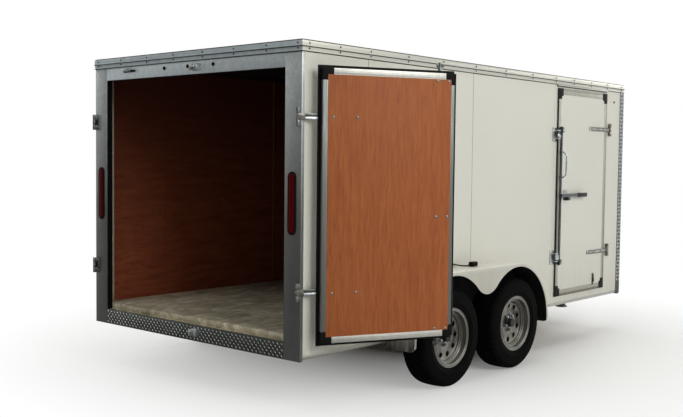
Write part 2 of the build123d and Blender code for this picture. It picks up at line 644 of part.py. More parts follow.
# Rear doors: the right door is drawn shut and swung open about its pin, the left is its mirror.
# It stands open as far as its clearance from the fender's rear corner allows.
REAR_PIN = -130.0
REAR_STRAP_END = 300.0
REAR_HINGE_UP = 321.0
REAR_HINGE_DOWN = 304.0
REAR_ROD_IN = 98.0
REAR_CAM_HALF = 20.0
REAR_GUIDE_IN = 60.0
REAR_LEVER_Z = 880.0
REAR_GRIP_Y = 355.0
REAR_FREE_OVER = 6.0
KEEPER_PAST = 44.0
ROD_PAST = 62.0
DOOR_TO_FENDER = 178.2
rear_high = DOORWAY_TOP - DECK_TOP
rear_hinges = (REAR_HINGE_UP, rear_high - REAR_HINGE_DOWN)
rear_rod = DOORWAY_HALF - REAR_ROD_IN
rear_cams = (-KEEPER_PAST, rear_high + KEEPER_PAST)
rear_guides = (REAR_GUIDE_IN, rear_high / 2, rear_high - REAR_GUIDE_IN)
rear_door = door_leaf(DOORWAY_HALF, rear_high, REAR_FREE_OVER)
rear_door["straps"] = [strap(z, REAR_PIN, REAR_STRAP_END) for z in rear_hinges]
rod_span = (-ROD_PAST, rear_high + ROD_PAST)
rear_lock, rear_grip = bar_lock(rear_rod, rod_span, rear_guides, GUIDE_ARM, REAR_LEVER_Z, REAR_GRIP_Y)
for z in rear_cams:
    rear_lock += cam(rear_rod - REAR_CAM_HALF, rear_rod + REAR_CAM_HALF, z - CAM_HALF / 2, z + CAM_HALF / 2)
pin_y = REAR_PIN - DOORWAY_HALF
to_fender_x = fender_rear + PIN_OUT
to_fender_y = -FENDER_OUT - pin_y
to_fender = math.hypot(to_fender_x, to_fender_y)
open_angle = math.degrees(
    math.atan2(to_fender_y, to_fender_x) - math.acos((PIN_OUT - LEAF_OUT - DOOR_TO_FENDER) / to_fender)
)
rear_shut = Pos(0, -DOORWAY_HALF, DECK_TOP)
swing = Pos(-PIN_OUT, pin_y, 0) * Rot(0, 0, open_angle) * Pos(PIN_OUT, -pin_y, 0)
for piece_name, solids in rear_door.items():
    placed = [swing * rear_shut * solid for solid in solids]
    parts[f"rear_door_right_{piece_name}"] = placed
    parts[f"rear_door_left_{piece_name}"] = [left_of(solid) for solid in placed]
parts["rear_door_right_bar_lock"] = [swing * rear_shut * rear_lock]
parts["rear_door_right_grip"] = [swing * rear_shut * rear_grip]

# Side door: the same build, turned to the right wall and shut, hinged at its front edge
SIDE_PIN = -58.0
SIDE_STRAP_END = 335.0
SIDE_HINGE_UP = 333.0
SIDE_HINGE_DOWN = 317.0
SIDE_ROD_IN = 24.0
SIDE_CAM_UP = 330.0
SIDE_CAM_DOWN = 383.0
SIDE_CAM_PAST = 44.0
SIDE_GUIDE_PAST = 40.0
SIDE_ROD_PAST = 68.0
SIDE_LEVER_Z = 853.0
SIDE_GRIP_Y = 425.0
GRAB_IN = 52.0
GRAB_UP = 1005.0
GRAB_LONG = 217.0
GRAB_OUT = 55.0
GRAB_RADIUS = 6.0
GRAB_FOOT = 20.0
CATCH_Y = 203.0
CATCH_HALF = 16.0
CATCH_UP = 34.0
CATCH_LONG = 106.0
CATCH_OUT = 15.0
side_high = SIDE_TOP - SIDE_BOTTOM
side_hinges = (SIDE_HINGE_UP, side_high - SIDE_HINGE_DOWN)
side_rod = SIDE_WIDE - SIDE_ROD_IN
side_cams = (SIDE_CAM_UP, side_high - SIDE_CAM_DOWN)
side_guides = (side_cams[0] - SIDE_GUIDE_PAST, side_cams[1] + SIDE_GUIDE_PAST)
side_cam_end = SIDE_WIDE + SIDE_CAM_PAST
side_door = door_leaf(SIDE_WIDE, side_high, LEAF_GAP + LIP_OVER)
side_door["straps"] = [strap(z, SIDE_PIN, SIDE_STRAP_END) for z in side_hinges]
rod_span = (side_cams[0] - SIDE_ROD_PAST, side_cams[1] + SIDE_ROD_PAST)
side_lock, side_grip = bar_lock(side_rod, rod_span, side_guides, ROD_RADIUS, SIDE_LEVER_Z, SIDE_GRIP_Y)
for z in side_cams:
    side_lock += cam(side_rod, side_cam_end, z - CAM_HALF, z + CAM_HALF)
side_door["bar_lock"] = [side_lock]
side_door["grip"] = [side_grip]
grab_y = SIDE_WIDE - GRAB_IN
grab_x = -LEAF_OUT - GRAB_OUT
grab = upright(grab_x, grab_y, GRAB_UP, GRAB_UP + GRAB_LONG, GRAB_RADIUS)
for z in (GRAB_UP, GRAB_UP + GRAB_LONG):
    grab += Pos(grab_x, grab_y, z) * Sphere(GRAB_RADIUS)
    grab += lengthwise(grab_y, z, grab_x, -LEAF_OUT, GRAB_RADIUS)
    grab += lengthwise(grab_y, z, -LEAF_OUT - BUTT_PLATE, -LEAF_OUT, GRAB_FOOT)
catch = block(
    -LEAF_OUT - CATCH_OUT, -LEAF_OUT, CATCH_Y - CATCH_HALF, CATCH_Y + CATCH_HALF, CATCH_UP, CATCH_UP + CATCH_LONG
)
side_door["fittings"] = [grab, catch]
side_shut = Pos(SIDE_FRONT, -HALF_WIDTH, SIDE_BOTTOM) * Rot(0, 0, 90)
for piece_name, solids in side_door.items():
    parts[f"side_door_{piece_name}"] = [side_shut * solid for solid in solids]

# Hinge butts on the rear posts and the right wall: how far the plates reach either way of the pin
REAR_BUTT = {"near": 30.0, "far": 9.0}
SIDE_BUTT = {"near": 14.0, "far": 60.0}
butts = []
for z in rear_hinges:
    piece = butt(z, REAR_PIN, REAR_PIN + REAR_BUTT["near"], REAR_PIN - REAR_BUTT["far"])
    butts += pair(rear_shut * piece)
for z in side_hinges:
    piece = butt(z, SIDE_PIN, SIDE_PIN + SIDE_BUTT["near"], SIDE_PIN - SIDE_BUTT["far"])
    butts.append(side_shut * piece)
parts["hinge_butts"] = butts

# Keepers: a pair of lugs on a plate, either side of each cam
LUG = 10.0
LUG_CLEAR = 6.0
LUG_PAST_CAM = 9.0
KEEPER_PLATE = 5.0
SIDE_KEEPER_FROM_SEAL = 7.0
SIDE_KEEPER_WIDE = 70.0
SIDE_KEEPER_PAST = 20.0
lug_out = ROD_OUT + CAM_THICK + LUG_PAST_CAM
rear_lug = REAR_CAM_HALF + LUG_CLEAR
side_lug = CAM_HALF + LUG_CLEAR
keepers = []
for z in rear_cams:
    z0, z1 = z - CAM_HALF, z + CAM_HALF
    keeper = block(-KEEPER_PLATE, 0, rear_rod - rear_lug, rear_rod + rear_lug, z0, z1)
    for y in (rear_rod - rear_lug - LUG, rear_rod + rear_lug):
        keeper += block(-lug_out, 0, y, y + LUG, z0, z1)
    keepers.append(rear_shut * keeper)
keeper_y = SIDE_WIDE + LIP_OVER + SIDE_KEEPER_FROM_SEAL
for z in side_cams:
    plate_half = side_lug + LUG + SIDE_KEEPER_PAST
    keeper = block(-KEEPER_PLATE, 0, keeper_y, keeper_y + SIDE_KEEPER_WIDE, z - plate_half, z + plate_half)
    for lug_z in (z - side_lug - LUG, z + side_lug):
        keeper += block(-lug_out, 0, keeper_y, side_cam_end + LUG, lug_z, lug_z + LUG)
    keepers.append(side_shut * keeper)
parts["lock_keepers"] = keepers

# The origin lies under the middle of the whole trailer
to_middle = Pos((lug_out - ball_x - socket_radius) / 2, 0, 0)
os.makedirs("parts", exist_ok=True)
for name, solids in parts.items():
    placed = [to_middle * solid for solid in solids]
    shape = placed[0] if len(placed) == 1 else Compound(placed)
    export_step(shape, f"parts/{name}.step")
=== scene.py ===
import json
import math
from functools import partial

import bmesh
import bpy
from mathutils import Matrix, Vector

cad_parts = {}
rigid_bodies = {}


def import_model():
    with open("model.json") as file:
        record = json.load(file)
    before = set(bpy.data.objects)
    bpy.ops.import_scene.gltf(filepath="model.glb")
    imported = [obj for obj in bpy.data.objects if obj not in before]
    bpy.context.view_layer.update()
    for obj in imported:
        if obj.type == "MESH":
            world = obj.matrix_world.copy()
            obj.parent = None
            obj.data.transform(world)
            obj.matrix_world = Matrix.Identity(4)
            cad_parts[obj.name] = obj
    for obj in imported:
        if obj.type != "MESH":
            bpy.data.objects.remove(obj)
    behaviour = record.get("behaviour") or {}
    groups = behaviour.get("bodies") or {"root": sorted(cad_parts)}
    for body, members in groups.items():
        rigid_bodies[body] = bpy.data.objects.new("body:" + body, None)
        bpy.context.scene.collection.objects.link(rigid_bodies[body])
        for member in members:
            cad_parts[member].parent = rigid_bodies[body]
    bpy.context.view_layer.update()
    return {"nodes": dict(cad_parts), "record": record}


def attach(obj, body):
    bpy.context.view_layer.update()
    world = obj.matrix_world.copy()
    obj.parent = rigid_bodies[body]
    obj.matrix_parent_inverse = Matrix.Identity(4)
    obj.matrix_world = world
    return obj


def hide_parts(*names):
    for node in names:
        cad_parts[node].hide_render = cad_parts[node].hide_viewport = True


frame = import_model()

# Places are in millimetres from the rear face of the body, its middle line and the ground.
REAR_FACE = 2774.0
MM = 0.001
IN_BODY = Matrix.Scale(MM, 4) @ Matrix.Translation((-REAR_FACE, 0, 0))
HALF_WIDTH = 1067.0
BODY_LONG = 4350.0
BODY_FOOT = 338.0
DECK_TOP = 446.0
FLOOR_TOP = 486.0
RAIL_BOTTOM = 2228.0
ROOF_EDGE = 2290.0
DOORWAY_HALF = 926.0
LINING_FACE = 1019.0
CEILING_Z = 2256.0
AXLE_Z = 345.0
AXLES = {"rear": 1303.0, "front": 2147.0}
AXLES_MID = sum(AXLES.values()) / 2
# Both sides of the trailer and the way out to each
SIDES = (("right", -1), ("left", 1))
FULL_TURN = 2 * math.pi
QUARTER_TURN = math.pi / 2

# A door's own frame has x into the load space, y from its hinge side and z up from its doorway's foot.
LEAF_IN = 31.0
OUTER_FACE = -9.0
OUTER_STRAP = -15.0
OUTER_GUIDE = -13.0
REAR_HIGH = 1691.0
REAR_PIN = (-22.0, -1056.0)
REAR_OPEN = 243.7986
SIDE_WIDE = 886.0
SIDE_HIGH = 1750.0
SIDE_CORNER = (3995.0, -HALF_WIDTH, 438.0)


def about_pin(pin, degrees):
    """A turn about an upright pin."""
    there = Matrix.Translation((pin[0], pin[1], 0))
    return there @ Matrix.Rotation(math.radians(degrees), 4, "Z") @ there.inverted()


MIRROR = Matrix.Diagonal((1, -1, 1, 1))
REAR_SHUT = Matrix.Translation((0, -DOORWAY_HALF, DECK_TOP))
IN_RIGHT_DOOR = IN_BODY @ about_pin(REAR_PIN, REAR_OPEN) @ REAR_SHUT
IN_LEFT_DOOR = MIRROR @ IN_RIGHT_DOOR
IN_SIDE_DOOR = IN_BODY @ Matrix.Translation(SIDE_CORNER) @ Matrix.Rotation(QUARTER_TURN, 4, "Z")


def linear(code):
    """An sRGB hex colour as linear light."""
    values = [int(code[i : i + 2], 16) / 255 for i in (1, 3, 5)]
    return [v / 12.92 if v <= 0.04045 else ((v + 0.055) / 1.055) ** 2.4 for v in values] + [1.0]


def per(size):
    """The scale of a pattern whose features are this many millimetres across."""
    return 1 / (size * MM)


def add_node(tree, kind, inputs, output=None, **settings):
    """Adds a shader node with its settings, links and values, where text is a hex colour.

    It gives the named output, or else the first one in use."""
    made = tree.nodes.new(f"ShaderNode{kind}")
    for name, value in settings.items():
        setattr(made, name, value)
    for socket, value in inputs.items():
        if isinstance(value, bpy.types.NodeSocket):
            tree.links.new(value, made.inputs[socket])
        else:
            made.inputs[socket].default_value = linear(value) if isinstance(value, str) else value
    return made.outputs[output] if output else next((s for s in made.outputs if s.enabled), None)


def new_material(name):
    """A material with an empty node tree, what adds nodes to it, and the place that patterns read."""
    material = bpy.data.materials.new(name)
    material.use_nodes = True
    material.node_tree.nodes.clear()
    add = partial(add_node, material.node_tree)
    return material, add, add("TexCoord", {}, "Object")


def close(add, colour, rough, bump, inputs):
    """Ends a material with its surface shader."""
    shader = add("BsdfPrincipled", {"Base Color": colour, "Roughness": rough, "Normal": bump, **inputs})
    add("OutputMaterial", {"Surface": shader})


def by_height(add, place, start, full, most):
    """How much a finish has changed at a height: nothing at the start, the most at full, both in metres."""
    height = add("SeparateXYZ", {"Vector": place}, "Z")
    return add("MapRange", {"Value": height, "From Min": start, "From Max": full, "To Max": most})


# The first and second colour of a colour mix
COLOUR_A = 6
COLOUR_B = 7
# Height in metres at which dirt from the road is thickest
DIRT_FULL = 0.3


def white_sheet(name, clean, shaded, low_tone, rough, low_tone_top, low_tone_most):
    """White factory-painted sheet: smooth and half glossy, slightly wavy, with road dust low down, which on
    the rear apron also stands for painted shade.

    The darker low tone starts below the sixth value in metres, and the last value is how much of it lies at
    the foot."""
    material, add, place = new_material(name)
    cloud = add("TexNoise", {"Vector": place, "Scale": per(700), "Detail": 3})
    paint = add("Mix", {0: cloud, COLOUR_A: clean, COLOUR_B: shaded}, data_type="RGBA")
    drawn = add("Mapping", {"Vector": place, "Scale": (1, 1, 0.12)})
    streaks = add("TexNoise", {"Vector": drawn, "Scale": per(60), "Detail": 6})
    # Road dust low down; on the rear apron the heavy share of it is partly painted shade.
    low = by_height(add, place, low_tone_top, DIRT_FULL, low_tone_most)
    dust = add("Math", {0: low, 1: streaks}, operation="MULTIPLY")
    dusty = add("Mix", {0: dust, COLOUR_A: paint, COLOUR_B: low_tone}, data_type="RGBA")
    gloss = add("MapRange", {"Value": streaks, "To Min": rough - 0.06, "To Max": rough + 0.1})
    waves = add("TexNoise", {"Vector": place, "Scale": per(420), "Detail": 1})
    bump = add("Bump", {"Height": waves, "Strength": 0.12, "Distance": 0.004})
    close(add, dusty, gloss, bump, {"IOR": 1.5})
    return material


def plain_metal(name, light, dark, rough, cell, stretch, low_tone, low_tone_from):
    """Bare or plated metal: two tones in patches or drawn lines, duller low down, and toned towards a second
    colour low down, which is road dirt on most finishes, and on the door strips painted shade and a lighter
    foot.
    """
    material, add, place = new_material(name)
    drawn = add("Mapping", {"Vector": place, "Scale": stretch})
    tone = add("TexNoise", {"Vector": drawn, "Scale": per(cell), "Detail": 4})
    spread = add("MapRange", {"Value": tone, "From Min": 0.3, "From Max": 0.7})
    metal = add("Mix", {0: spread, COLOUR_A: dark, COLOUR_B: light}, data_type="RGBA")
    low = by_height(add, place, low_tone_from, DIRT_FULL, 0.6)
    toned_low = add("Mix", {0: low, COLOUR_A: metal, COLOUR_B: low_tone}, data_type="RGBA")
    gloss = add("MapRange", {"Value": tone, "To Min": rough + 0.1, "To Max": rough - 0.08})
    bump = add("Bump", {"Height": tone, "Strength": 0.08, "Distance": 0.001})
    close(add, toned_low, gloss, bump, {"Metallic": 0.92})
    return material


def galvanised(name, dark, light):
    """Hot-dipped zinc on steel: crystal spangles in blue-grey tones, drawn coarse enough to show."""
    material, add, place = new_material(name)
    spangle = add("TexVoronoi", {"Vector": place, "Scale": per(26)}, "Color")
    red = add("SeparateColor", {"Color": spangle}, "Red")
    cloud = add("TexNoise", {"Vector": place, "Scale": per(180), "Detail": 5})
    both = add("Math", {0: red, 1: cloud}, operation="MULTIPLY")
    zinc = add("Mix", {0: both, COLOUR_A: dark, COLOUR_B: light}, data_type="RGBA")
    # Painted shade: the zinc darkens from 2.1 m down to 1.2 m.
    low = by_height(add, place, 2.1, 1.2, 0.82)
    toned_low = add("Mix", {0: low, COLOUR_A: zinc, COLOUR_B: "#605F59"}, data_type="RGBA")
    gloss = add("MapRange", {"Value": red.node.outputs["Green"], "To Min": 0.36, "To Max": 0.46})
    bump = add("Bump", {"Height": both, "Strength": 0.06, "Distance": 0.001})
    close(add, toned_low, gloss, bump, {"Metallic": 0.8})
    return material


# Grain by the way it runs: stretch of the figure, stretch of the pores, width of the figure
GRAIN = {"x": ((0.16, 1, 1), (0.12, 1, 1), 38), "z": ((1, 1, 0.1), (1, 1, 0.06), 24)}


def veneer(name, pale, red, dark, along, painted_shade_above):
    """Rotary-cut tropical plywood under clear oil: long wandering figure and short dark pores.

    The along value names the way the grain runs: lengthwise on the walls, upright on the doors.
    The last value is how much painted shade darkens the wood towards the ceiling."""
    material, add, place = new_material(name)
    figure_stretch, pore_stretch, figure_wide = GRAIN[along]
    drawn = add("Mapping", {"Vector": place, "Scale": figure_stretch})
    figure = add("TexNoise", {"Vector": drawn, "Scale": per(figure_wide), "Detail": 7, "Distortion": 0.5})
    share = add("MapRange", {"Value": figure, "From Min": 0.3, "From Max": 0.72})
    wood = add("Mix", {0: share, COLOUR_A: red, COLOUR_B: pale}, data_type="RGBA")
    drawn = add("Mapping", {"Vector": place, "Scale": pore_stretch})
    pores = add("TexNoise", {"Vector": drawn, "Scale": per(6), "Detail": 4})
    share = add("MapRange", {"Value": pores, "From Min": 0.5, "From Max": 0.72, "To Max": 0.45})
    grain = add("Mix", {0: share, COLOUR_A: wood, COLOUR_B: dark}, data_type="RGBA")
    # Painted shade: the wood darkens from 0.5 m up to 2.1 m, towards the ceiling.
    above = by_height(add, place, 0.5, 2.1, painted_shade_above)
    shaded_above = add("Mix", {0: above, COLOUR_A: grain, COLOUR_B: dark}, data_type="RGBA")
    gloss = add("MapRange", {"Value": figure, "To Min": 0.48, "To Max": 0.62})
    bump = add("Bump", {"Height": pores, "Strength": 0.15, "Distance": 0.0008}, invert=True)
    close(add, shaded_above, gloss, bump, {"IOR": 1.5, "Specular IOR Level": 0.25})
    return material


def board(name):
    """Worn floor board: beige-grey strands pressed flat, with scuffs and trodden dirt."""
    material, add, place = new_material(name)
    drawn = add("Mapping", {"Vector": place, "Scale": (0.45, 1, 1)})
    strands = add("TexVoronoi", {"Vector": drawn, "Scale": per(38), "Randomness": 1.0}, "Color")
    red = add("SeparateColor", {"Color": strands}, "Red")
    wood = add("Mix", {0: red, COLOUR_A: "#BDB294", COLOUR_B: "#EFE6CC"}, data_type="RGBA")
    dirt = add("TexNoise", {"Vector": place, "Scale": per(240), "Detail": 8, "Roughness": 0.7})
    share = add("MapRange", {"Value": dirt, "From Min": 0.42, "From Max": 0.75, "To Max": 0.75})
    trodden = add("Mix", {0: share, COLOUR_A: wood, COLOUR_B: "#857860"}, data_type="RGBA")
    bump = add("Bump", {"Height": red.node.outputs["Green"], "Strength": 0.2, "Distance": 0.001})
    close(add, trodden, 0.72, bump, {"IOR": 1.45})
    return material


def coated(name, base, worn, rough, grain, share, strength, shine):
    """Paint, rubber or moulded plastic: an even colour, worn or dusty in patches, with a fine skin."""
    material, add, place = new_material(name)
    patches = add("TexNoise", {"Vector": place, "Scale": per(120), "Detail": 7, "Roughness": 0.65})
    amount = add("MapRange", {"Value": patches, "From Min": 0.45, "From Max": 0.8, "To Max": share})
    colour = add("Mix", {0: amount, COLOUR_A: base, COLOUR_B: worn}, data_type="RGBA")
    gloss = add("MapRange", {"Value": patches, "To Min": rough - 0.08, "To Max": rough + 0.14})
    skin = add("TexNoise", {"Vector": place, "Scale": per(grain), "Detail": 2})
    bump = add("Bump", {"Height": skin, "Strength": strength, "Distance": 0.0008})
    close(add, colour, gloss, bump, {"IOR": 1.5, "Specular IOR Level": shine})
    return material


def lens(name, base, deep):
    """Moulded acrylic lamp lens: clear gloss over fine ribs that catch the light."""
    material, add, place = new_material(name)
    wave = {"Vector": place, "Scale": per(60), "Distortion": 0.0}
    ribs = add("TexWave", wave, "Fac", bands_direction="Z")
    colour = add("Mix", {0: ribs, COLOUR_A: deep, COLOUR_B: base}, data_type="RGBA")
    bump = add("Bump", {"Height": ribs, "Strength": 0.25, "Distance": 0.001})
    close(add, colour, 0.2, bump, {"IOR": 1.49, "Specular IOR Level": 0.05})
    return material


EVEN = (1, 1, 1)
LONG = (0.04, 1, 1)
TALL = (1, 1, 0.05)
# White sheets: key, name, clean and shaded tone, low tone (road dust, on the rear apron also painted shade),
# roughness, top of the low tone, how much of it lies at the foot
WHITE_SHEETS = (
    ("white_skin", "white_painted_aluminium_sheet", "#E4E4DB", "#DDDDD3", "#A9A18C", 0.34, 0.9, 0.55),
    # The fender's paint is brighter than the walls', as painted light on its top; the skirt is a darker
    # copy, as painted shade; the apron's heavy dark tone low down is road dirt and painted shade.
    ("fender_paint", "white_enamelled_steel_fender", "#F3F3EB", "#E8E6DB", "#7C7465", 0.28, 0.9, 0.55),
    ("fender_skirt", "dusty_enamelled_fender_skirt", "#D3D3C9", "#C4C2B7", "#6E675A", 0.32, 0.9, 0.55),
    ("grimed_apron", "road_grimed_enamel", "#CFCDC3", "#BDBAAE", "#2E2C28", 0.4, 0.62, 1.9),
)
# Metals: key, name, light and dark tone, roughness, width of the patches, their stretch, low tone (road
# dirt, on some strips painted shade), its top
METALS = (
    ("mill_aluminium", "mill_finish_aluminium", "#BEBDB4", "#B2B2A9", 0.42, 40, LONG, "#9A978E", 0.6),
    # The rail's rear-facing bands, tinted cooler as painted shade.
    ("rear_rail", "cool_mill_finish_aluminium", "#BFCACD", "#B1BCBF", 0.42, 40, EVEN, "#9A978E", 0.6),
    ("edge_strip", "brushed_aluminium_edge_strip", "#CBCAC3", "#B6B6B1", 0.42, 7, TALL, "#A09D94", 0.6),
    ("side_strip", "satin_aluminium_door_strip", "#B3B1A6", "#A5A399", 0.6, 7, TALL, "#8F8C82", 0.6),
    ("strap_zinc", "worn_zinc_door_strap", "#A3A29A", "#63625B", 0.26, 16, EVEN, "#6A6861", 0.5),
    # A brighter copy of the door straps' zinc, as painted light on the side door.
    ("bright_strap", "bright_zinc_side_strap", "#D5D1C6", "#5E5A52", 0.22, 11, EVEN, "#8F8B82", 0.4),
    # The side door's lip, darker downwards from 2.1 m as painted shade.
    ("side_upright", "dull_aluminium_side_upright", "#A8A59A", "#8D8A80", 0.5, 7, TALL, "#3E3C37", 2.1),
    # A darker copy of the edge strip as painted shade, lighter towards the foot.
    ("upright_strip", "dull_aluminium_upright_strip", "#707371", "#5C5F5D", 0.36, 7, TALL, "#A5A49D", 1.9),
    ("tread_plate", "dull_aluminium_tread_plate", "#767B78", "#5F6461", 0.36, 45, EVEN, "#4A4A46", 0.7),
    # Darker towards the bottom from 2.1 m down.
    ("dark_tread", "weathered_aluminium_tread_plate", "#6A6E6D", "#4C504F", 0.4, 45, EVEN, "#131312", 2.1),
    # Scuffed lozenge tops; on the sill only one lean has them, as a painted glint.
    ("tread_lozenge", "scuffed_tread_plate_lozenge", "#DDE0DF", "#BFC3C2", 0.28, 45, EVEN, "#BDBBB4", 0.7),
    ("zinc_steel", "bright_zinc_plated_steel", "#C6CBCB", "#9A9F9E", 0.26, 30, EVEN, "#8A8981", 0.5),
    ("dull_zinc", "dull_zinc_hinge_butt", "#8D918F", "#6A6E6C", 0.4, 20, EVEN, "#6A6861", 0.5),
    # A brighter zinc as a painted highlight, on the sill's keeper and under the rear straps.
    ("keeper_zinc", "bright_zinc_keeper", "#E8ECED", "#BCC2C4", 0.3, 14, EVEN, "#C9C9C5", 0.4),
    # Zinc painted dark, as painted shade and dark reflection, on the lock rods and strap ribs.
    ("lock_steel", "dull_zinc_plated_lock_bar", "#626868", "#4A5050", 0.34, 30, EVEN, "#565650", 0.5),
    ("weathered_screw", "weathered_zinc_screw", "#565651", "#3C3C38", 0.5, 10, EVEN, "#3A3A36", 0.5),
    ("chrome", "polished_chrome_plate", "#C3C6C7", "#9B9FA0", 0.14, 25, EVEN, "#8A8A86", 0.4),
    ("silver_wheel", "silver_wheel_enamel", "#9A9993", "#82817B", 0.34, 60, EVEN, "#66635D", 0.2),
)
# Coats: key, name, clean and worn tone, roughness, width of the skin's grain, most wear, its depth, shine
COATS = (
    ("black_steel", "satin_black_chassis_paint", "#121314", "#3A3732", 0.46, 6, 0.3, 0.12, 0.35),
    ("black_rubber", "extruded_black_rubber", "#0A0A0B", "#262522", 0.62, 3, 0.2, 0.15, 0.12),
    # Grey sealant in the wall seams, and under the roof rail's lips also as painted shadow.
    ("grey_sealant", "weathered_grey_sealant", "#3F3D38", "#57544C", 0.7, 4, 0.4, 0.1, 0.2),
    ("tyre_rubber", "moulded_tyre_rubber", "#070707", "#1A1917", 0.8, 4, 0.3, 0.2, 0.05),
    ("black_plastic", "moulded_black_grip", "#0F0F10", "#2A2926", 0.5, 3, 0.2, 0.2, 0.35),
    # Near black, as painted shade under the roof.
    ("ceiling", "dark_hardboard_ceiling", "#1C1511", "#15100C", 0.7, 10, 0.6, 0.15, 0.3),
    ("pale_trim", "pale_vinyl_trim", "#C9C3B4", "#A39A87", 0.5, 12, 0.4, 0.05, 0.4),
    ("brown_trim", "brown_vinyl_trim", "#8A6A55", "#6E5140", 0.5, 12, 0.4, 0.05, 0.3),
    ("black_undercoat", "black_rubberised_undercoat", "#101010", "#2B2924", 0.85, 7, 0.5, 0.4, 0.2),
)
FINISH = {
    "galvanised_steel": galvanised("hot_dip_galvanised_steel", "#BAC0BF", "#D3D9D8"),
    # A brighter copy of the galvanised zinc on the header, as painted light.
    "header_zinc": galvanised("clean_galvanised_header", "#CFD8DA", "#E6EFF1"),
    # The wall ply darkens towards the ceiling as painted shade; the door ply does not.
    "plywood": veneer("oiled_meranti_plywood_wall", "#B0613F", "#90482E", "#431D13", "x", 0.9),
    "door_ply": veneer("oiled_meranti_plywood_door", "#AB6435", "#9A5229", "#6A341A", "z", 0.0),
    "deck_board": board("worn_strand_board_floor"),
    "red_lens": lens("red_acrylic_lens", "#5F0508", "#490408"),
    "dark_lens": lens("smoked_red_acrylic_lens", "#260506", "#160304"),
    "amber_lens": lens("amber_acrylic_lens", "#8F4A12", "#4E2506"),
}
FINISH.update({key: white_sheet(*row) for key, *row in WHITE_SHEETS})
FINISH.update({key: plain_metal(*row) for key, *row in METALS})
FINISH.update({key: coated(*row) for key, *row in COATS})
for cad_node in frame["nodes"].values():
    for material_slot in cad_node.material_slots:
        material_slot.material = FINISH[material_slot.material.name]

SMOOTH_BELOW = math.radians(38)
BLOCK_STEPS = 2
ROD_SIDES = 12
HEAD_SIDES = 12


def make_piece(name, bm, place, finishes, body, slot):
    """Turns a bmesh in millimetres into a piece that rides on a body."""
    bm.transform(place)
    bmesh.ops.recalc_face_normals(bm, faces=bm.faces)
    mesh = bpy.data.meshes.new(name)
    bm.to_mesh(mesh)
    bm.free()
    for finish in finishes:
        mesh.materials.append(FINISH[finish])
    mesh.shade_smooth()
    mesh.set_sharp_from_angle(angle=SMOOTH_BELOW)
    piece = bpy.data.objects.new(name, mesh)
    bpy.context.scene.collection.objects.link(piece)
    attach(piece, body)
    return piece


def ease(bm, edges, width, segments):
    """Rounds these edges."""
    bmesh.ops.bevel(
        bm,
        geom=edges,
        offset=width,
        offset_type="OFFSET",
        affect="EDGES",
        segments=segments,
        profile=0.5,
        material=-1,
        clamp_overlap=True,
    )


def add_block(bm, low, high, round_over):
    """A block between two corners with eased edges."""
    low, high = Vector(low), Vector(high)
    size = Matrix.Diagonal((*(high - low), 1))
    made = bmesh.ops.create_cube(bm, size=1, matrix=Matrix.Translation((low + high) / 2) @ size)
    edges = {edge for vert in made["verts"] for edge in vert.link_edges}
    ease(bm, list(edges), round_over, BLOCK_STEPS)


def make_blocks(name, blocks, round_over, place, finishes, body, slot):
    """A piece of one or more eased blocks, each by its lowest and highest corner."""
    bm = bmesh.new()
    for low, high in blocks:
        add_block(bm, low, high, round_over)
    make_piece(name, bm, place, finishes, body, slot)


def both_sides(face, inner, outer):
    """From and to across the trailer, about a face on its right and the same face on its left."""
    return ((-face - outer, inner - face), (face - inner, face + outer))


def facing(direction):
    """A turn that takes the z axis to this direction."""
    return Vector((0, 0, 1)).rotation_difference(Vector(direction)).to_matrix().to_4x4()


def add_rod(bm, start, end, radius, sides):
    """A round rod between two points."""
    start, end = Vector(start), Vector(end)
    along = end - start
    place = Matrix.Translation((start + end) / 2) @ facing(along)
    bmesh.ops.create_cone(
        bm, cap_ends=True, segments=sides, radius1=radius, radius2=radius, depth=along.length, matrix=place
    )


# A domed head in steps: radius as a share of the head's, height as a share of the head's
DOME = ((1.0, 0.0), (0.94, 0.45), (0.7, 0.82), (0.35, 1.0))


def add_head(bm, place, out, radius, high, sides):
    """A domed screw or bolt head standing on a surface."""
    turn = Matrix.Translation(place) @ facing(out)
    made = bmesh.ops.create_circle(bm, cap_ends=True, segments=sides, radius=radius, matrix=turn)
    face = made["verts"][0].link_faces[0]
    outer = Vector(out).normalized()
    for (share, up), (next_share, next_up) in zip(DOME, DOME[1:]):
        grown = bmesh.ops.extrude_discrete_faces(bm, faces=[face])
        face = grown["faces"][0]
        middle = face.calc_center_median()
        rise = outer * high * (next_up - up)
        bmesh.ops.translate(bm, verts=face.verts, vec=rise)
        shrink = Matrix.Scale(next_share / share, 4)
        bmesh.ops.transform(bm, matrix=shrink, verts=face.verts, space=Matrix.Translation(-middle - rise))


# Washer under a nut: thickness as a share of the nut's height, radius as a share of the nut's
WASHER_THICK = 0.2
WASHER_WIDE = 1.3
WASHER_SIDES = 16
HEX_SIDES = 6


def add_hex(bm, place, out, radius, high):
    """A hexagon nut with a washer under it."""
    outer = Vector(out).normalized()
    washer_end = Vector(place) + outer * high * WASHER_THICK
    add_rod(bm, place, washer_end, radius * WASHER_WIDE, WASHER_SIDES)
    add_rod(bm, washer_end, Vector(place) + outer * high, radius, HEX_SIDES)


def first_finish(middle, way):
    """One finish all over."""
    return 0


NODE_SLOT = {row["node"]: row["material_slot"] for row in frame["record"]["subparts"]}
WELD_WITHIN = 0.02
FLAT_BELOW = math.radians(0.5)
SHARP_ABOVE = math.radians(40)
# The free end of a door strap is rounded across its thickness
STRAP_THICK = 6.0
STRAP_NEAR = 0.01
STRAP_ROUND = 17.0
STRAP_STEPS = 5


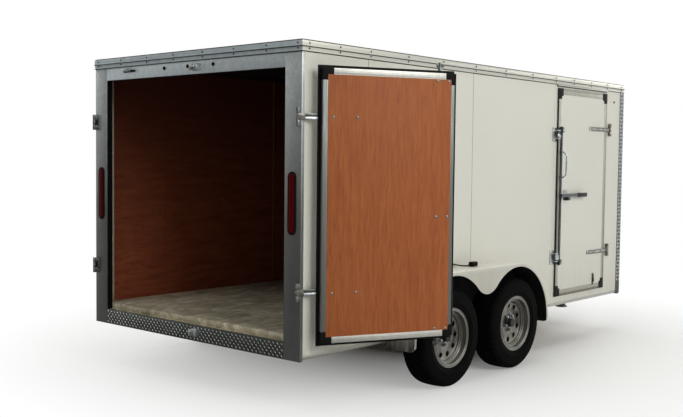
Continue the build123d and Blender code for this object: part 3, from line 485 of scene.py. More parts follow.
def eased_copy(name, width, segments, finishes, choose=first_finish, cuts=()):
    """A CAD node with its sharp edges rounded, which then stands for the node.

    The choose function gives a face's finish by its middle and its way, in millimetres of the body.
    The cuts are planes, by a point and a way, along which the finish changes."""
    cad = frame["nodes"][name]
    bm = bmesh.new()
    bm.from_mesh(cad.data)
    bm.transform(IN_BODY.inverted())
    bmesh.ops.remove_doubles(bm, verts=bm.verts, dist=WELD_WITHIN)
    bmesh.ops.dissolve_limit(bm, angle_limit=FLAT_BELOW, verts=bm.verts, edges=bm.edges, delimit=set())
    if name.endswith("_straps"):
        ends = [e for e in bm.edges if abs(e.calc_length() - STRAP_THICK) < STRAP_NEAR]
        ease(bm, ends, STRAP_ROUND, STRAP_STEPS)
    sharp = [e for e in bm.edges if e.is_manifold and e.calc_face_angle() > SHARP_ABOVE]
    ease(bm, sharp, width, segments)
    for point, way in cuts:
        bmesh.ops.bisect_plane(bm, geom=[*bm.verts, *bm.edges, *bm.faces], plane_co=point, plane_no=way)
    for face in bm.faces:
        face.material_index = choose(face.calc_center_median(), face.normal)
    body = cad.parent.name.removeprefix("body:")
    piece = make_piece(f"{name}_finished", bm, IN_BODY, finishes, body, NODE_SLOT[name])
    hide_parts(name)


# How far a face has to look a way to count as looking there, as a cosine
A_LITTLE = 0.2
HALF_WAY = 0.5
MOSTLY = 0.7
SQUARELY = 0.9
SIDE_CAMS = (768.0, 1805.0)
CAM_REACH = 30.0
STRIP_REACH = 45.0
CORNER_REACH = 81.0
FREE_EDGE = 12.0


def fender_side(middle, way):
    """White paint outside, brighter as painted light; a darker skirt as painted shade; road dirt with
    painted shade on the rear apron; undercoat towards the wheels.
    """
    nearer = AXLES["rear"] if middle.x < AXLES_MID else AXLES["front"]
    to_wheel = Vector((nearer - middle.x, 0, AXLE_Z - middle.z)).normalized()
    looks_in = way.dot(to_wheel) > A_LITTLE
    looks_at_wall = abs(way.y) > SQUARELY and way.y * middle.y < 0
    if looks_in or looks_at_wall:
        return 1
    if way.x < -HALF_WAY:
        return 2
    return 3 if abs(way.y) > SQUARELY else 0


def rail_side(middle, way):
    """The dark edge of the roof sheet over the bands of the rail, whose rear-facing bands are tinted cooler
    as painted bluish shade.
    """
    if middle.z > ROOF_EDGE:
        return 1
    return 2 if way.x < -MOSTLY else 0


def cam_side(middle, way):
    """Bright cams on the lock rod of the side door, whose zinc is painted dark as shade and dark reflection.
    """
    return 1 if min(abs(middle.z - cam_z) for cam_z in SIDE_CAMS) < CAM_REACH else 0


def rear_side(middle, way):
    """A brighter zinc for the fittings of the side door, as painted light, and a duller one for those of the
    rear doors, darker as painted shade.
    """
    return 1 if middle.x < AXLES_MID else 0


def keeper_side(middle, way):
    """A brighter zinc on the keeper of the sill than on the others, as a painted highlight."""
    return 1 if middle.z < DECK_TOP else 0


def marker_side(middle, way):
    """Smoked red lamps across the rear, amber lamps on the side walls."""
    return 1 if middle.x > AXLES_MID else 0


def strip_side(in_door, wide):
    """Chooses a second finish for a door's two upright strips, which on the rear doors is a darker copy as
    painted shade.
    """
    to_door = in_door.inverted() @ IN_BODY

    def choose(middle, way):
        across = (to_door @ middle).y
        return 1 if min(across, wide - across) < STRIP_REACH else 0

    return choose


def side_seal_side(middle, way):
    """Black corners and free edge on the side door, with a plain lip along the rest that is painted darker
    downwards as shade.
    """
    from_hinge = SIDE_CORNER[0] - middle.x
    up = middle.z - SIDE_CORNER[2]
    at_end = min(from_hinge, SIDE_WIDE - from_hinge) < CORNER_REACH
    at_foot_or_head = min(up, SIDE_HIGH - up) < CORNER_REACH
    at_free_edge = from_hinge > SIDE_WIDE - FREE_EDGE
    return 0 if at_free_edge or (at_end and at_foot_or_head) else 1


CORNER_CUTS = [
    ((SIDE_CORNER[0] - from_hinge, 0, 0), (1, 0, 0))
    for from_hinge in (CORNER_REACH, SIDE_WIDE - CORNER_REACH, SIDE_WIDE - FREE_EDGE)
]
CORNER_CUTS += [((0, 0, SIDE_CORNER[2] + up), (0, 0, 1)) for up in (CORNER_REACH, SIDE_HIGH - CORNER_REACH)]
# Doors: name, own frame, width, height, kind
DOORS = (
    ("rear_door_right", IN_RIGHT_DOOR, DOORWAY_HALF, REAR_HIGH, "rear"),
    ("rear_door_left", IN_LEFT_DOOR, DOORWAY_HALF, REAR_HIGH, "rear"),
    ("side_door", IN_SIDE_DOOR, SIDE_WIDE, SIDE_HIGH, "side"),
)
# Finish of a door's edge strips by its kind: those across it, those up it, on the rear doors darker as
# painted shade
STRIPS = {"rear": ("edge_strip", "upright_strip"), "side": ("side_strip", "side_strip")}
# Finish of a door's straps by its kind, and of the ribs along them; the side door's straps are brighter as
# painted light
STRAP_FINISH = {"rear": ("strap_zinc", "strap_zinc"), "side": ("bright_strap", "lock_steel")}
WHEELS = [f"{axle}_{side}" for axle in AXLES for side, way in SIDES]
# Nodes whose edges are rounded: node, width of the round, steps, finishes, choice among them, cuts
EASED = [
    ("rear_posts", 1.2, 2, ("galvanised_steel",)),
    ("rear_header", 2.0, 2, ("header_zinc",)),
    ("rear_sill", 2.0, 2, ("tread_plate",)),
    ("roof_rails", 1.4, 2, ("mill_aluminium", "weathered_screw", "rear_rail"), rail_side),
    ("bottom_rails", 2.0, 2, ("mill_aluminium",)),
    ("tread_guards", 0.8, 1, ("dark_tread",)),
    ("fenders", 1.2, 2, ("fender_paint", "black_undercoat", "grimed_apron", "fender_skirt"), fender_side),
    ("fender_lamps", 11.0, 4, ("dark_lens",)),
    ("tail_lamp_bezels", 2.5, 2, ("black_rubber",)),
    ("tail_lamp_lenses", 5.0, 3, ("red_lens",)),
    ("marker_lamps", 3.0, 2, ("dark_lens", "amber_lens"), marker_side),
    ("hinge_butts", 1.0, 2, ("bright_strap", "dull_zinc"), rear_side),
    ("lock_keepers", 1.2, 2, ("zinc_steel", "keeper_zinc"), keeper_side),
    ("coupler", 2.0, 2, ("dull_zinc",)),
    ("tongue_rails", 4.0, 2, ("black_steel",)),
    ("jack_plate", 1.5, 2, ("black_steel",)),
    ("jack_tube", 2.0, 2, ("black_steel",)),
    ("jack_leg", 2.0, 2, ("black_steel",)),
    ("rear_door_right_bar_lock", 1.2, 2, ("lock_steel",)),
    ("rear_door_right_grip", 5.0, 3, ("black_plastic",)),
    ("side_door_bar_lock", 1.2, 2, ("lock_steel", "zinc_steel"), cam_side),
    ("side_door_grip", 5.0, 3, ("black_plastic",)),
    ("side_door_seal", 1.2, 2, ("black_rubber", "side_upright"), side_seal_side, CORNER_CUTS),
    ("rear_door_right_seal", 1.2, 2, ("black_rubber",)),
    ("rear_door_left_seal", 1.2, 2, ("black_rubber",)),
]
for door, in_door, wide, high, kind in DOORS:
    EASED.append((f"{door}_straps", 1.2, 2, STRAP_FINISH[kind][:1]))
    EASED.append((f"{door}_frame", 1.5, 2, STRIPS[kind], strip_side(in_door, wide)))
for wheel in WHEELS:
    EASED.append((f"rim_{wheel}", 1.8, 2, ("silver_wheel",)))
    EASED.append((f"hub_{wheel}", 4.0, 3, ("black_steel",)))
for row in EASED:
    eased_copy(*row)

# Tyres: one side of the section as distance from the middle plane and radius, bead to crown
TYRE_SIDE = (
    (79.5, 190.4), (79.5, 208.5), (87.0, 211.5), (93.0, 219.0), (98.0, 234.0), (100.0, 246.0),
    (102.0, 248.0), (102.2, 254.0), (101.0, 256.0), (102.2, 270.0), (101.0, 288.0), (97.5, 303.0),
    (98.2, 305.0), (96.2, 311.0), (93.0, 318.0), (87.0, 331.5), (80.0, 338.5), (68.0, 342.0),
    (56.0, 343.0), (55.0, 335.5), (47.5, 335.5), (46.5, 343.6), (33.0, 344.3), (20.0, 344.7),
    (19.0, 336.5), (11.5, 336.5), (10.5, 345.0),
)
TREAD_STEPS = 216
TREAD_STRIDE = 4
# Bands of cross grooves: from and to the middle plane, least radius, step in the stride, depth left
GROOVE_BANDS = ((57.0, 94.0, 318.0, 0, 0.98), (21.0, 46.0, 343.0, 2, 0.986))
TYRE_WELD = 0.01
TYRE_Y = 1190.0
LUGS = 5
LUG_CIRCLE = 57.15
LUG_RADIUS = 11.0
LUG_HIGH = 24.0
LUG_DOME = 0.8 * LUG_RADIUS
LUG_DOME_HIGH = 4.0
PAD_FACE = 22.0
BEAD_RINGS = (187.5, 206.5)
BEAD_THICK = 3.2
BEAD_SIDES = 10
BEAD_STEPS = 72
FLANGE_FACE = 88.0
# Valve: points along its stem and cap, by distance from the wheel's middle plane and radius of the wheel
VALVE_FOOT = (36.0, 160.0)
VALVE_NECK = (70.0, 154.0)
VALVE_END = (80.0, 152.0)
VALVE_RADIUS = 4.0
VALVE_CAP_RADIUS = 5.2


def spin_round(bm, geom, steps):
    """Spins a section fully round the y axis."""
    bmesh.ops.spin(
        bm, geom=geom, cent=(0, 0, 0), axis=(0, 1, 0), angle=FULL_TURN, steps=steps, use_merge=True
    )


def new_verts(grown):
    """The corners among what an extrusion made."""
    return [item for item in grown["geom"] if isinstance(item, bmesh.types.BMVert)]


def tyre_shape():
    """A tyre about the y axis: the section spun round, with cross grooves pressed into the tread."""
    bm = bmesh.new()
    other_side = [(-across, radius) for across, radius in reversed(TYRE_SIDE)]
    verts = [bm.verts.new((radius, across, 0)) for across, radius in [*TYRE_SIDE, *other_side]]
    edges = [bm.edges.new((a, b)) for a, b in zip(verts, verts[1:] + verts[:1])]
    spin_round(bm, verts + edges, TREAD_STEPS)
    bmesh.ops.remove_doubles(bm, verts=bm.verts, dist=TYRE_WELD)
    bmesh.ops.recalc_face_normals(bm, faces=bm.faces)
    for near, far, least, phase, left in GROOVE_BANDS:
        pressed = []
        for face in bm.faces:
            middle = face.calc_center_median()
            turn = math.atan2(middle.z, middle.x) % FULL_TURN
            step = int(turn / FULL_TURN * TREAD_STEPS)
            in_band = near < abs(middle.y) < far and math.hypot(middle.x, middle.z) > least
            if in_band and step % TREAD_STRIDE == phase:
                pressed.append(face)
        grown = bmesh.ops.extrude_face_region(bm, geom=pressed)
        bmesh.ops.scale(bm, vec=(left, 1, left), verts=new_verts(grown))
        bmesh.ops.delete(bm, geom=[face for face in pressed if face.is_valid], context="FACES_ONLY")
    return bm


def add_ring(bm, radius, out, thick):
    """A round ring about the y axis."""
    place = Matrix.Translation((radius, out, 0))
    made = bmesh.ops.create_circle(bm, segments=BEAD_SIDES, radius=thick, matrix=place)
    edges = list({edge for vert in made["verts"] for edge in vert.link_edges})
    spin_round(bm, made["verts"] + edges, BEAD_STEPS)


tyre_pattern = tyre_shape()
for axle, axle_x in AXLES.items():
    for side, mirrored in (("right", Matrix.Identity(4)), ("left", MIRROR)):
        wheel = f"{axle}_{side}"
        body = f"wheel_{wheel}"
        in_wheel = mirrored @ IN_BODY @ Matrix.Translation((axle_x, -TYRE_Y, AXLE_Z))
        tread = tyre_pattern.copy()
        tyre = make_piece(f"tyre_{wheel}_tread", tread, in_wheel, ("tyre_rubber",), body, "tyre_rubber")
        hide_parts(f"tyre_{wheel}")
        nuts = bmesh.new()
        for i in range(LUGS):
            turn = FULL_TURN * (i + 0.5) / LUGS
            foot = (LUG_CIRCLE * math.sin(turn), -PAD_FACE, LUG_CIRCLE * math.cos(turn))
            top = (foot[0], -PAD_FACE - LUG_HIGH, foot[2])
            add_hex(nuts, foot, (0, -1, 0), LUG_RADIUS, LUG_HIGH)
            add_head(nuts, top, (0, -1, 0), LUG_DOME, LUG_DOME_HIGH, HEAD_SIDES)
        make_piece(f"lug_nuts_{wheel}", nuts, in_wheel, ("chrome",), body, "zinc_steel")
        beads = bmesh.new()
        for bead_radius in BEAD_RINGS:
            add_ring(beads, bead_radius, -FLANGE_FACE, BEAD_THICK)
        make_piece(f"rim_beads_{wheel}", beads, in_wheel, ("silver_wheel",), body, "silver_wheel")
        valve = bmesh.new()
        foot, neck, end = [(0, -out, up) for out, up in (VALVE_FOOT, VALVE_NECK, VALVE_END)]
        add_rod(valve, foot, neck, VALVE_RADIUS, ROD_SIDES)
        add_rod(valve, neck, end, VALVE_CAP_RADIUS, ROD_SIDES)
        make_piece(f"valve_{wheel}", valve, in_wheel, ("black_rubber",), body, "black_rubber")
tyre_pattern.free()

# Screws along both bands of the roof rail: height of the band's middle, how far it stands out
RAIL_BANDS = ((2245.5, 4.0), (2278.0, 6.0))
REAR_SCREWS_Y = (1027.0, 747.0, 445.0, 149.0, -155.0, -461.0, -762.0, -1035.0)
SIDE_SCREWS_X = (60.0, 340.0, 640.0, 1040.0, 1446.0, 1861.0, 2278.0, 2687.0, 3064.0, 3379.0, 3696.0)
SIDE_SCREWS_X += (4008.0, 4294.0)
SCREW_RADIUS = 6.5
SCREW_HIGH = 3.5
SCREW_SIDES = 10
screws = bmesh.new()
for band_z, band_out in RAIL_BANDS:
    screw_places = []
    for y in REAR_SCREWS_Y:
        screw_places.append(((-band_out, y, band_z), (-1, 0, 0)))
        screw_places.append(((BODY_LONG + band_out, y, band_z), (1, 0, 0)))
    for x in SIDE_SCREWS_X:
        for side, way in SIDES:
            screw_places.append(((x, way * (HALF_WIDTH + band_out), band_z), (0, way, 0)))
    for place, out in screw_places:
        add_head(screws, place, out, SCREW_RADIUS, SCREW_HIGH, SCREW_SIDES)
make_piece("roof_rail_screws", screws, IN_BODY, ("weathered_screw",), "trailer", "zinc_steel")

# Raised lozenges of the tread plate
SILL_PITCH = 19.0
GUARD_PITCH = 34.0
STONE_PITCH = 27.0
# A lozenge's half length and half width as shares of the pitch, its top as a share of its foot
LOZENGE_LONG = 0.55
LOZENGE_WIDE = 0.18
LOZENGE_TOP = 0.6
LOZENGE_HIGH = 2.0
LOZENGE_SUNK = 0.4
LOZENGE_SIDES = 6
LOZENGE_LEAN = math.radians(45)
BOTH_BRIGHT = ("tread_lozenge", "tread_lozenge")
UPWARDS = (0, 0, 1)


def add_lozenges(bm, corner, across, wide, high, pitch):
    """Rows of lozenges over an upright plate, every other one turned, with a finish for each lean."""
    across, upwards = Vector(across), Vector(UPWARDS)
    out = across.cross(upwards)
    columns = int(wide / pitch)
    rows = int(high / pitch)
    first = Vector(corner) + across * (wide - (columns - 1) * pitch) / 2
    first += upwards * (high - (rows - 1) * pitch) / 2
    plate = Matrix((across, upwards, out)).transposed().to_4x4()
    size = Matrix.Diagonal((LOZENGE_LONG * pitch, LOZENGE_WIDE * pitch, 1, 1))
    strips = []
    for column in range(2):
        strip = bmesh.new()
        for row in range(rows):
            place = first + upwards * row * pitch + out * (LOZENGE_HIGH / 2 - LOZENGE_SUNK)
            lean = (column + row) % 2
            tilt = Matrix.Rotation(LOZENGE_LEAN if lean else -LOZENGE_LEAN, 4, "Z")
            made = bmesh.ops.create_cone(
                strip,
                cap_ends=True,
                segments=LOZENGE_SIDES,
                radius1=1.0,
                radius2=LOZENGE_TOP,
                depth=LOZENGE_HIGH,
                matrix=Matrix.Translation(place) @ plate @ tilt @ size,
            )
            for face in {face for vert in made["verts"] for face in vert.link_faces}:
                face.material_index = lean
        strips.append(bpy.data.meshes.new("lozenge_strip"))
        strip.to_mesh(strips[-1])
        strip.free()
    for column in range(columns):
        known = len(bm.verts)
        bm.from_mesh(strips[column % 2])
        bm.verts.ensure_lookup_table()
        bmesh.ops.translate(bm, verts=bm.verts[known:], vec=across * column * pitch)
    for mesh in strips:
        bpy.data.meshes.remove(mesh)


GUARD_OUT = 3.0
GUARD_WIDE = 76.0
GUARD_PLAIN = 458.0
STONE_HALF = 987.0
STONE_FOOT = 432.0
STONE_HIGH = 600.0
guard_side = HALF_WIDTH + GUARD_OUT
guard_front = BODY_LONG + GUARD_OUT
guard_back = guard_front - GUARD_WIDE
guard_high = RAIL_BOTTOM - GUARD_PLAIN
sill_corner = (0, DOORWAY_HALF, BODY_FOOT)
stone_corner = (guard_front, -STONE_HALF, STONE_FOOT)
# Plates: lower corner, way across, width, height
SILL_PLATES = ((sill_corner, (0, -1, 0), 2 * DOORWAY_HALF, DECK_TOP - BODY_FOOT),)
GUARD_PLATES = (
    ((guard_back, -guard_side, GUARD_PLAIN), (1, 0, 0), GUARD_WIDE, guard_high),
    ((guard_front, guard_side, GUARD_PLAIN), (-1, 0, 0), GUARD_WIDE, guard_high),
    ((guard_front, -guard_side, GUARD_PLAIN), (0, 1, 0), GUARD_WIDE, guard_high),
    ((guard_front, guard_side - GUARD_WIDE, GUARD_PLAIN), (0, 1, 0), GUARD_WIDE, guard_high),
)
STONE_PLATES = ((stone_corner, (0, 1, 0), 2 * STONE_HALF, STONE_HIGH),)
# Lozenge pieces: name, plates, pitch, finish of each lean, where the sill's bright lean is a painted glint
LOZENGE_PIECES = (
    ("sill_lozenges", SILL_PLATES, SILL_PITCH, ("tread_lozenge", "tread_plate")),
    ("corner_guard_lozenges", GUARD_PLATES, GUARD_PITCH, BOTH_BRIGHT),
    ("stone_guard_lozenges", STONE_PLATES, STONE_PITCH, BOTH_BRIGHT),
)
for name, plates, pitch, finishes in LOZENGE_PIECES:
    lozenges = bmesh.new()
    for plate_row in plates:
        add_lozenges(lozenges, *plate_row, pitch)
    make_piece(name, lozenges, IN_BODY, finishes, "trailer", "tread_plate")

# Doors: plywood on the inner face over the corners, ribs along the edge strips, bolts through the leaf
LEAF_GAP = 9.0
PLY_FACE = LEAF_IN + 1.2
PLY_BACK = LEAF_IN - 1.0
PLY_ROUND = 0.8
BOLT_RADIUS = 9.0
BOLT_HIGH = 4.0
BOLT_SIDES = 14
CORNER_ARM = 72.0
RIB_HALF = 1.5
RIB_FACE = LEAF_IN + 1.0
RIB_ROUND = 0.5
RIBS_IN = (6.0, 15.0, 24.0)
# Ply margins from the leaf's edges: hinge side, free side, foot and head
PLY_MARGINS = (34.0, 34.0, 40.0, 39.0)
# Bolts of each door: place from the hinge side and from the foot, face outside that the head stands on
LOCK_BOLTS_Y = (786.0, 864.0)
REAR_STRAP_BOLTS = [(y, z, OUTER_STRAP) for y in (79.0, 238.0) for z in (315.0, 1387.0)]
REAR_LOCK_BOLTS = [(y, z, OUTER_GUIDE) for y in LOCK_BOLTS_Y for z in (60.0, 1631.0)]
REAR_LOCK_BOLTS += [(y, 775.0, OUTER_FACE) for y in LOCK_BOLTS_Y]
# Straps of a door by its kind: heights of their middles, from and to across the door for their ribs
STRAPS = {"rear": ((321.0, 1387.0), -112.0, 262.0), "side": ((333.0, 1433.0), -50.0, 292.0)}
STRAP_RIB = 5.0
STRAP_RIB_UP = 12.0
DOOR_BOLTS = {
    "rear_door_right": REAR_STRAP_BOLTS + REAR_LOCK_BOLTS,
    "rear_door_left": REAR_STRAP_BOLTS,
    "side_door": [(y, z, OUTER_STRAP) for y in (70.0, 185.0, 300.0) for z in STRAPS["side"][0]],
}
# Black edging down the rear doors, its near and far side measured back from the leaf's free edge
EDGING_FACE = LEAF_IN + 1.2
EDGING_BACK = LEAF_IN - 12.0
EDGING_NEAR = 11.0
EDGING_FAR = 1.6
EDGING_ROUND = 1.0
# Ribs on the back of the rear straps where they bridge to the hinge: name, foot and head from the
# strap's middle, finish; the upper rib is painted dark as shade and the lower one bright as a highlight
BACK_RIBS = (("upper", 3.0, 18.0, "lock_steel"), ("lower", -17.0, -2.0, "keeper_zinc"))
BACK_RIB_FROM = -88.0
BACK_RIB_TO = 2.0
BACK_RIB_FACE = OUTER_FACE + 3.5
BACK_RIB_ROOT = OUTER_FACE - 1.0
BACK_RIB_ROUND = 2.0
for door, in_door, wide, high, kind in DOORS:
    y0, y1 = LEAF_GAP, wide - LEAF_GAP
    z0, z1 = LEAF_GAP, high - LEAF_GAP
    strap_rows, strap_from, strap_to = STRAPS[kind]
    from_hinge, from_free, from_foot, from_head = PLY_MARGINS
    ply = ((PLY_BACK, y0 + from_hinge, z0 + from_foot), (PLY_FACE, y1 - from_free, z1 - from_head))
    make_blocks(f"{door}_ply", [ply], PLY_ROUND, in_door, ("door_ply",), door, "plywood")
    foot, head = z0 + CORNER_ARM, z1 - CORNER_ARM
    free_ribs = RIBS_IN[1:] if kind == "rear" else RIBS_IN
    uprights = [y0 + inset for inset in RIBS_IN] + [y1 - inset for inset in free_ribs]
    ribs = [((PLY_BACK, y - RIB_HALF, foot), (RIB_FACE, y + RIB_HALF, head)) for y in uprights]
    make_blocks(f"{door}_upright_ribs", ribs, RIB_ROUND, in_door, STRIPS[kind][1:], door, "mill_aluminium")
    near, far = y0 + CORNER_ARM, y1 - CORNER_ARM
    crossing = [z0 + inset for inset in RIBS_IN] + [z1 - inset for inset in RIBS_IN]
    ribs = [((PLY_BACK, near, z - RIB_HALF), (RIB_FACE, far, z + RIB_HALF)) for z in crossing]
    make_blocks(f"{door}_cross_ribs", ribs, RIB_ROUND, in_door, STRIPS[kind][:1], door, "mill_aluminium")
    strap_ribs = bmesh.new()
    for z in strap_rows:
        for up in (z - STRAP_RIB_UP, z + STRAP_RIB_UP):
            start = (OUTER_STRAP, strap_from, up)
            add_rod(strap_ribs, start, (OUTER_STRAP, strap_to, up), STRAP_RIB, ROD_SIDES)
    make_piece(f"{door}_strap_ribs", strap_ribs, in_door, STRAP_FINISH[kind][1:], door, "zinc_steel")
    if kind == "rear":
        edging = ((EDGING_BACK, y1 - EDGING_NEAR, foot), (EDGING_FACE, y1 - EDGING_FAR, head))
        name = f"{door}_edging"
        make_blocks(name, [edging], EDGING_ROUND, in_door, ("black_rubber",), door, "black_rubber")
        for where, rib_foot, rib_head, finish in BACK_RIBS:
            ribs = [
                ((BACK_RIB_ROOT, BACK_RIB_FROM, z + rib_foot), (BACK_RIB_FACE, BACK_RIB_TO, z + rib_head))
                for z in strap_rows
            ]
            name = f"{door}_strap_{where}_rib"
            make_blocks(name, ribs, BACK_RIB_ROUND, in_door, (finish,), door, "zinc_steel")
    bolts = bmesh.new()
    for y, z, outer in DOOR_BOLTS[door]:
        add_head(bolts, (PLY_FACE, y, z), (1, 0, 0), BOLT_RADIUS, BOLT_HIGH, BOLT_SIDES)
        add_head(bolts, (outer, y, z), (-1, 0, 0), BOLT_RADIUS, BOLT_HIGH, BOLT_SIDES)
    make_piece(f"{door}_bolts", bolts, in_door, ("dull_zinc",), door, "zinc_steel")

# Grab handle and catch of the side door: a bent bar on two round feet, and a hook on a plate
GRAB_Y = 834.0
GRAB_LOW = 1005.0
GRAB_HIGH = 1222.0
GRAB_OUT = -64.0
GRAB_BEND = 42.0
GRAB_RADIUS = 6.0
GRAB_SIDES = 14
BEND_STEPS = 8
FOOT_RADIUS = 18.0
FOOT_THICK = 4.0
FOOT_SIDES = 20
CATCH_Y = 203.0
CATCH_LOW = 34.0
CATCH_HIGH = 140.0
CATCH_HALF = 15.0
CATCH_THICK = 3.0
CATCH_ROUND = 1.2
# How far a fitting is let into the face that it sits on
LET_IN = 1.0
# Hook of the catch: inner and outer face, half width, foot and head from the plate's foot, round
HOOK_BACK = OUTER_FACE - 2.0
HOOK_FRONT = OUTER_FACE - 15.0
HOOK_HALF = 7.0
HOOK_LOW = CATCH_LOW + 26.0
HOOK_HIGH = CATCH_LOW + 62.0
HOOK_ROUND = 3.0
PIN_OUT = OUTER_FACE - 9.0
PIN_LOW = CATCH_LOW + 60.0
PIN_HIGH = CATCH_HIGH - 12.0
PIN_RADIUS = 5.0
CATCH_SCREWS = (CATCH_LOW + 12.0, CATCH_HIGH - 7.0)
FIXING_RADIUS = 6.0
FIXING_HIGH = 3.0
handle = bmesh.new()
bar_start = Matrix.Translation((OUTER_FACE, GRAB_Y, GRAB_LOW)) @ facing((-1, 0, 0))
bmesh.ops.create_circle(handle, segments=GRAB_SIDES, radius=GRAB_RADIUS, matrix=bar_start)
rim = list(handle.edges)
# Runs of the bar: a straight run by its move, or a bend by its centre
BAR_RUNS = (
    ((GRAB_OUT + GRAB_BEND - OUTER_FACE, 0, 0), None),
    (None, (GRAB_OUT + GRAB_BEND, GRAB_Y, GRAB_LOW + GRAB_BEND)),
    ((0, 0, GRAB_HIGH - GRAB_LOW - 2 * GRAB_BEND), None),
    (None, (GRAB_OUT + GRAB_BEND, GRAB_Y, GRAB_HIGH - GRAB_BEND)),
    ((OUTER_FACE - GRAB_OUT - GRAB_BEND, 0, 0), None),
)
for move, centre in BAR_RUNS:
    if move:
        grown = bmesh.ops.extrude_edge_only(handle, edges=rim)
        bmesh.ops.translate(handle, verts=new_verts(grown), vec=move)
        rim = [e for e in grown["geom"] if isinstance(e, bmesh.types.BMEdge) and e.is_boundary]
    else:
        spun = bmesh.ops.spin(
            handle, geom=rim, cent=centre, axis=(0, 1, 0), angle=QUARTER_TURN, steps=BEND_STEPS
        )
        rim = [e for e in spun["geom_last"] if isinstance(e, bmesh.types.BMEdge)]
for z in (GRAB_LOW, GRAB_HIGH):
    foot_end = (OUTER_FACE - FOOT_THICK, GRAB_Y, z)
    add_rod(handle, (OUTER_FACE + LET_IN, GRAB_Y, z), foot_end, FOOT_RADIUS, FOOT_SIDES)
plate_low = (OUTER_FACE - CATCH_THICK, CATCH_Y - CATCH_HALF, CATCH_LOW)
add_block(handle, plate_low, (OUTER_FACE + LET_IN, CATCH_Y + CATCH_HALF, CATCH_HIGH), CATCH_ROUND)
plate_faces = len(handle.faces)
hook_low = (HOOK_FRONT, CATCH_Y - HOOK_HALF, HOOK_LOW)
add_block(handle, hook_low, (HOOK_BACK, CATCH_Y + HOOK_HALF, HOOK_HIGH), HOOK_ROUND)
add_rod(handle, (PIN_OUT, CATCH_Y, PIN_LOW), (PIN_OUT, CATCH_Y, PIN_HIGH), PIN_RADIUS, ROD_SIDES)
for z in CATCH_SCREWS:
    place = (OUTER_FACE - CATCH_THICK, CATCH_Y, z)
    add_head(handle, place, (-1, 0, 0), FIXING_RADIUS, FIXING_HIGH, HEAD_SIDES)
handle.faces.ensure_lookup_table()
for face in handle.faces[plate_faces:]:
    face.material_index = 1
fittings = make_piece(
    "side_door_fittings_finished",
    handle,
    IN_SIDE_DOOR,
    ("chrome", "weathered_screw"),
    "side_door",
    "zinc_steel",
)
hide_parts("side_door_fittings")

# Fixings of the hinge butts: those of the rear doors face back, those of the side door face right
FIXINGS_UP = (-38.0, 38.0)
REAR_BUTT_FACE = -4.0
REAR_BUTTS_Y = (-1035.0, 1035.0)
REAR_BUTTS_Z = (767.0, 1833.0)
SIDE_BUTT_FACE = -1071.0
SIDE_BUTTS_X = (4082.0, 4100.0)
SIDE_BUTTS_Z = (771.0, 1871.0)
rear_fixings = [(REAR_BUTT_FACE, y, z + up) for y in REAR_BUTTS_Y for z in REAR_BUTTS_Z for up in FIXINGS_UP]
side_fixings = [(x, SIDE_BUTT_FACE, z + up) for x in SIDE_BUTTS_X for z in SIDE_BUTTS_Z for up in FIXINGS_UP]
fixings = bmesh.new()
for places, out in ((rear_fixings, (-1, 0, 0)), (side_fixings, (0, -1, 0))):
    for place in places:
        add_head(fixings, place, out, FIXING_RADIUS, FIXING_HIGH, HEAD_SIDES)
make_piece("hinge_fixings", fixings, IN_BODY, ("zinc_steel",), "trailer", "zinc_steel")

# Drip cap over the side door, with a seal under it
DRIP_FROM = 3085.0
DRIP_TO = 4000.0
DRIP_FOOT = 2214.0
DRIP_HEAD = 2226.0
DRIP_OUT = 15.0
DRIP_SEAL_OUT = 6.0
DRIP_SEAL_DOWN = 5.0
DRIP_BACK = LET_IN - HALF_WIDTH
# Edge of the floor at the rear doorway: a riser and a lip over it
THRESHOLD_X = 42.5
THRESHOLD_HALF = DOORWAY_HALF - 6.0
RISER_BACK = 45.0
LIP_BACK = 78.0
LIP_PROUD = 2.0
CEILING_FROM = 50.0
CEILING_TO = 4300.0
CEILING_HALF = LINING_FACE - 2.0
CEILING_FACE = CEILING_Z - 3.0
# Trim of the lining on both walls: name, from and to along the wall, finish
LINING_TRIMS = (
    ("rear", 112.0, 126.0, "pale_trim"),
    ("middle", 1807.5, 1816.5, "brown_trim"),
    ("front", 3051.5, 3060.5, "brown_trim"),
)
LINING_TRIM_PROUD = 3.0
LINING_TRIM_ROUND = 1.0
# Trim of the body: name, lowest and highest corner, round of the edges, finish, slot
trims = [
    (
        "drip_cap",
        (DRIP_FROM, -HALF_WIDTH - DRIP_OUT, DRIP_FOOT),
        (DRIP_TO, DRIP_BACK, DRIP_HEAD),
        3.0,
        "mill_aluminium",
        "mill_aluminium",
    ),
    (
        "drip_cap_seal",
        (DRIP_FROM, -HALF_WIDTH - DRIP_SEAL_OUT, DRIP_FOOT - DRIP_SEAL_DOWN),
        (DRIP_TO, DRIP_BACK, DRIP_FOOT + LET_IN),
        1.5,
        "black_rubber",
        "black_rubber",
    ),
    (
        "threshold_riser",
        (THRESHOLD_X, -THRESHOLD_HALF, DECK_TOP),
        (RISER_BACK, THRESHOLD_HALF, FLOOR_TOP + LET_IN),
        0.6,
        "deck_board",
        "deck_board",
    ),
    (
        "threshold_lip",
        (THRESHOLD_X, -THRESHOLD_HALF, FLOOR_TOP - LET_IN),
        (LIP_BACK, THRESHOLD_HALF, FLOOR_TOP + LIP_PROUD),
        0.9,
        "deck_board",
        "deck_board",
    ),
    # The ceiling sheet is near black, as painted shade.
    (
        "ceiling_sheet",
        (CEILING_FROM, -CEILING_HALF, CEILING_FACE),
        (CEILING_TO, CEILING_HALF, CEILING_Z + LET_IN),
        0.5,
        "ceiling",
        "plywood",
    ),
    ("header_lamp_foot", (-9.0, 584.0, 2184.0), (1.0, 715.0, 2200.0), 3.0, "black_plastic", "black_rubber"),
    ("header_lamp_hood", (-26.0, 618.0, 2190.0), (1.0, 706.0, 2212.0), 9.0, "chrome", "zinc_steel"),
]
lining_sides = both_sides(LINING_FACE, LINING_TRIM_PROUD, LET_IN)
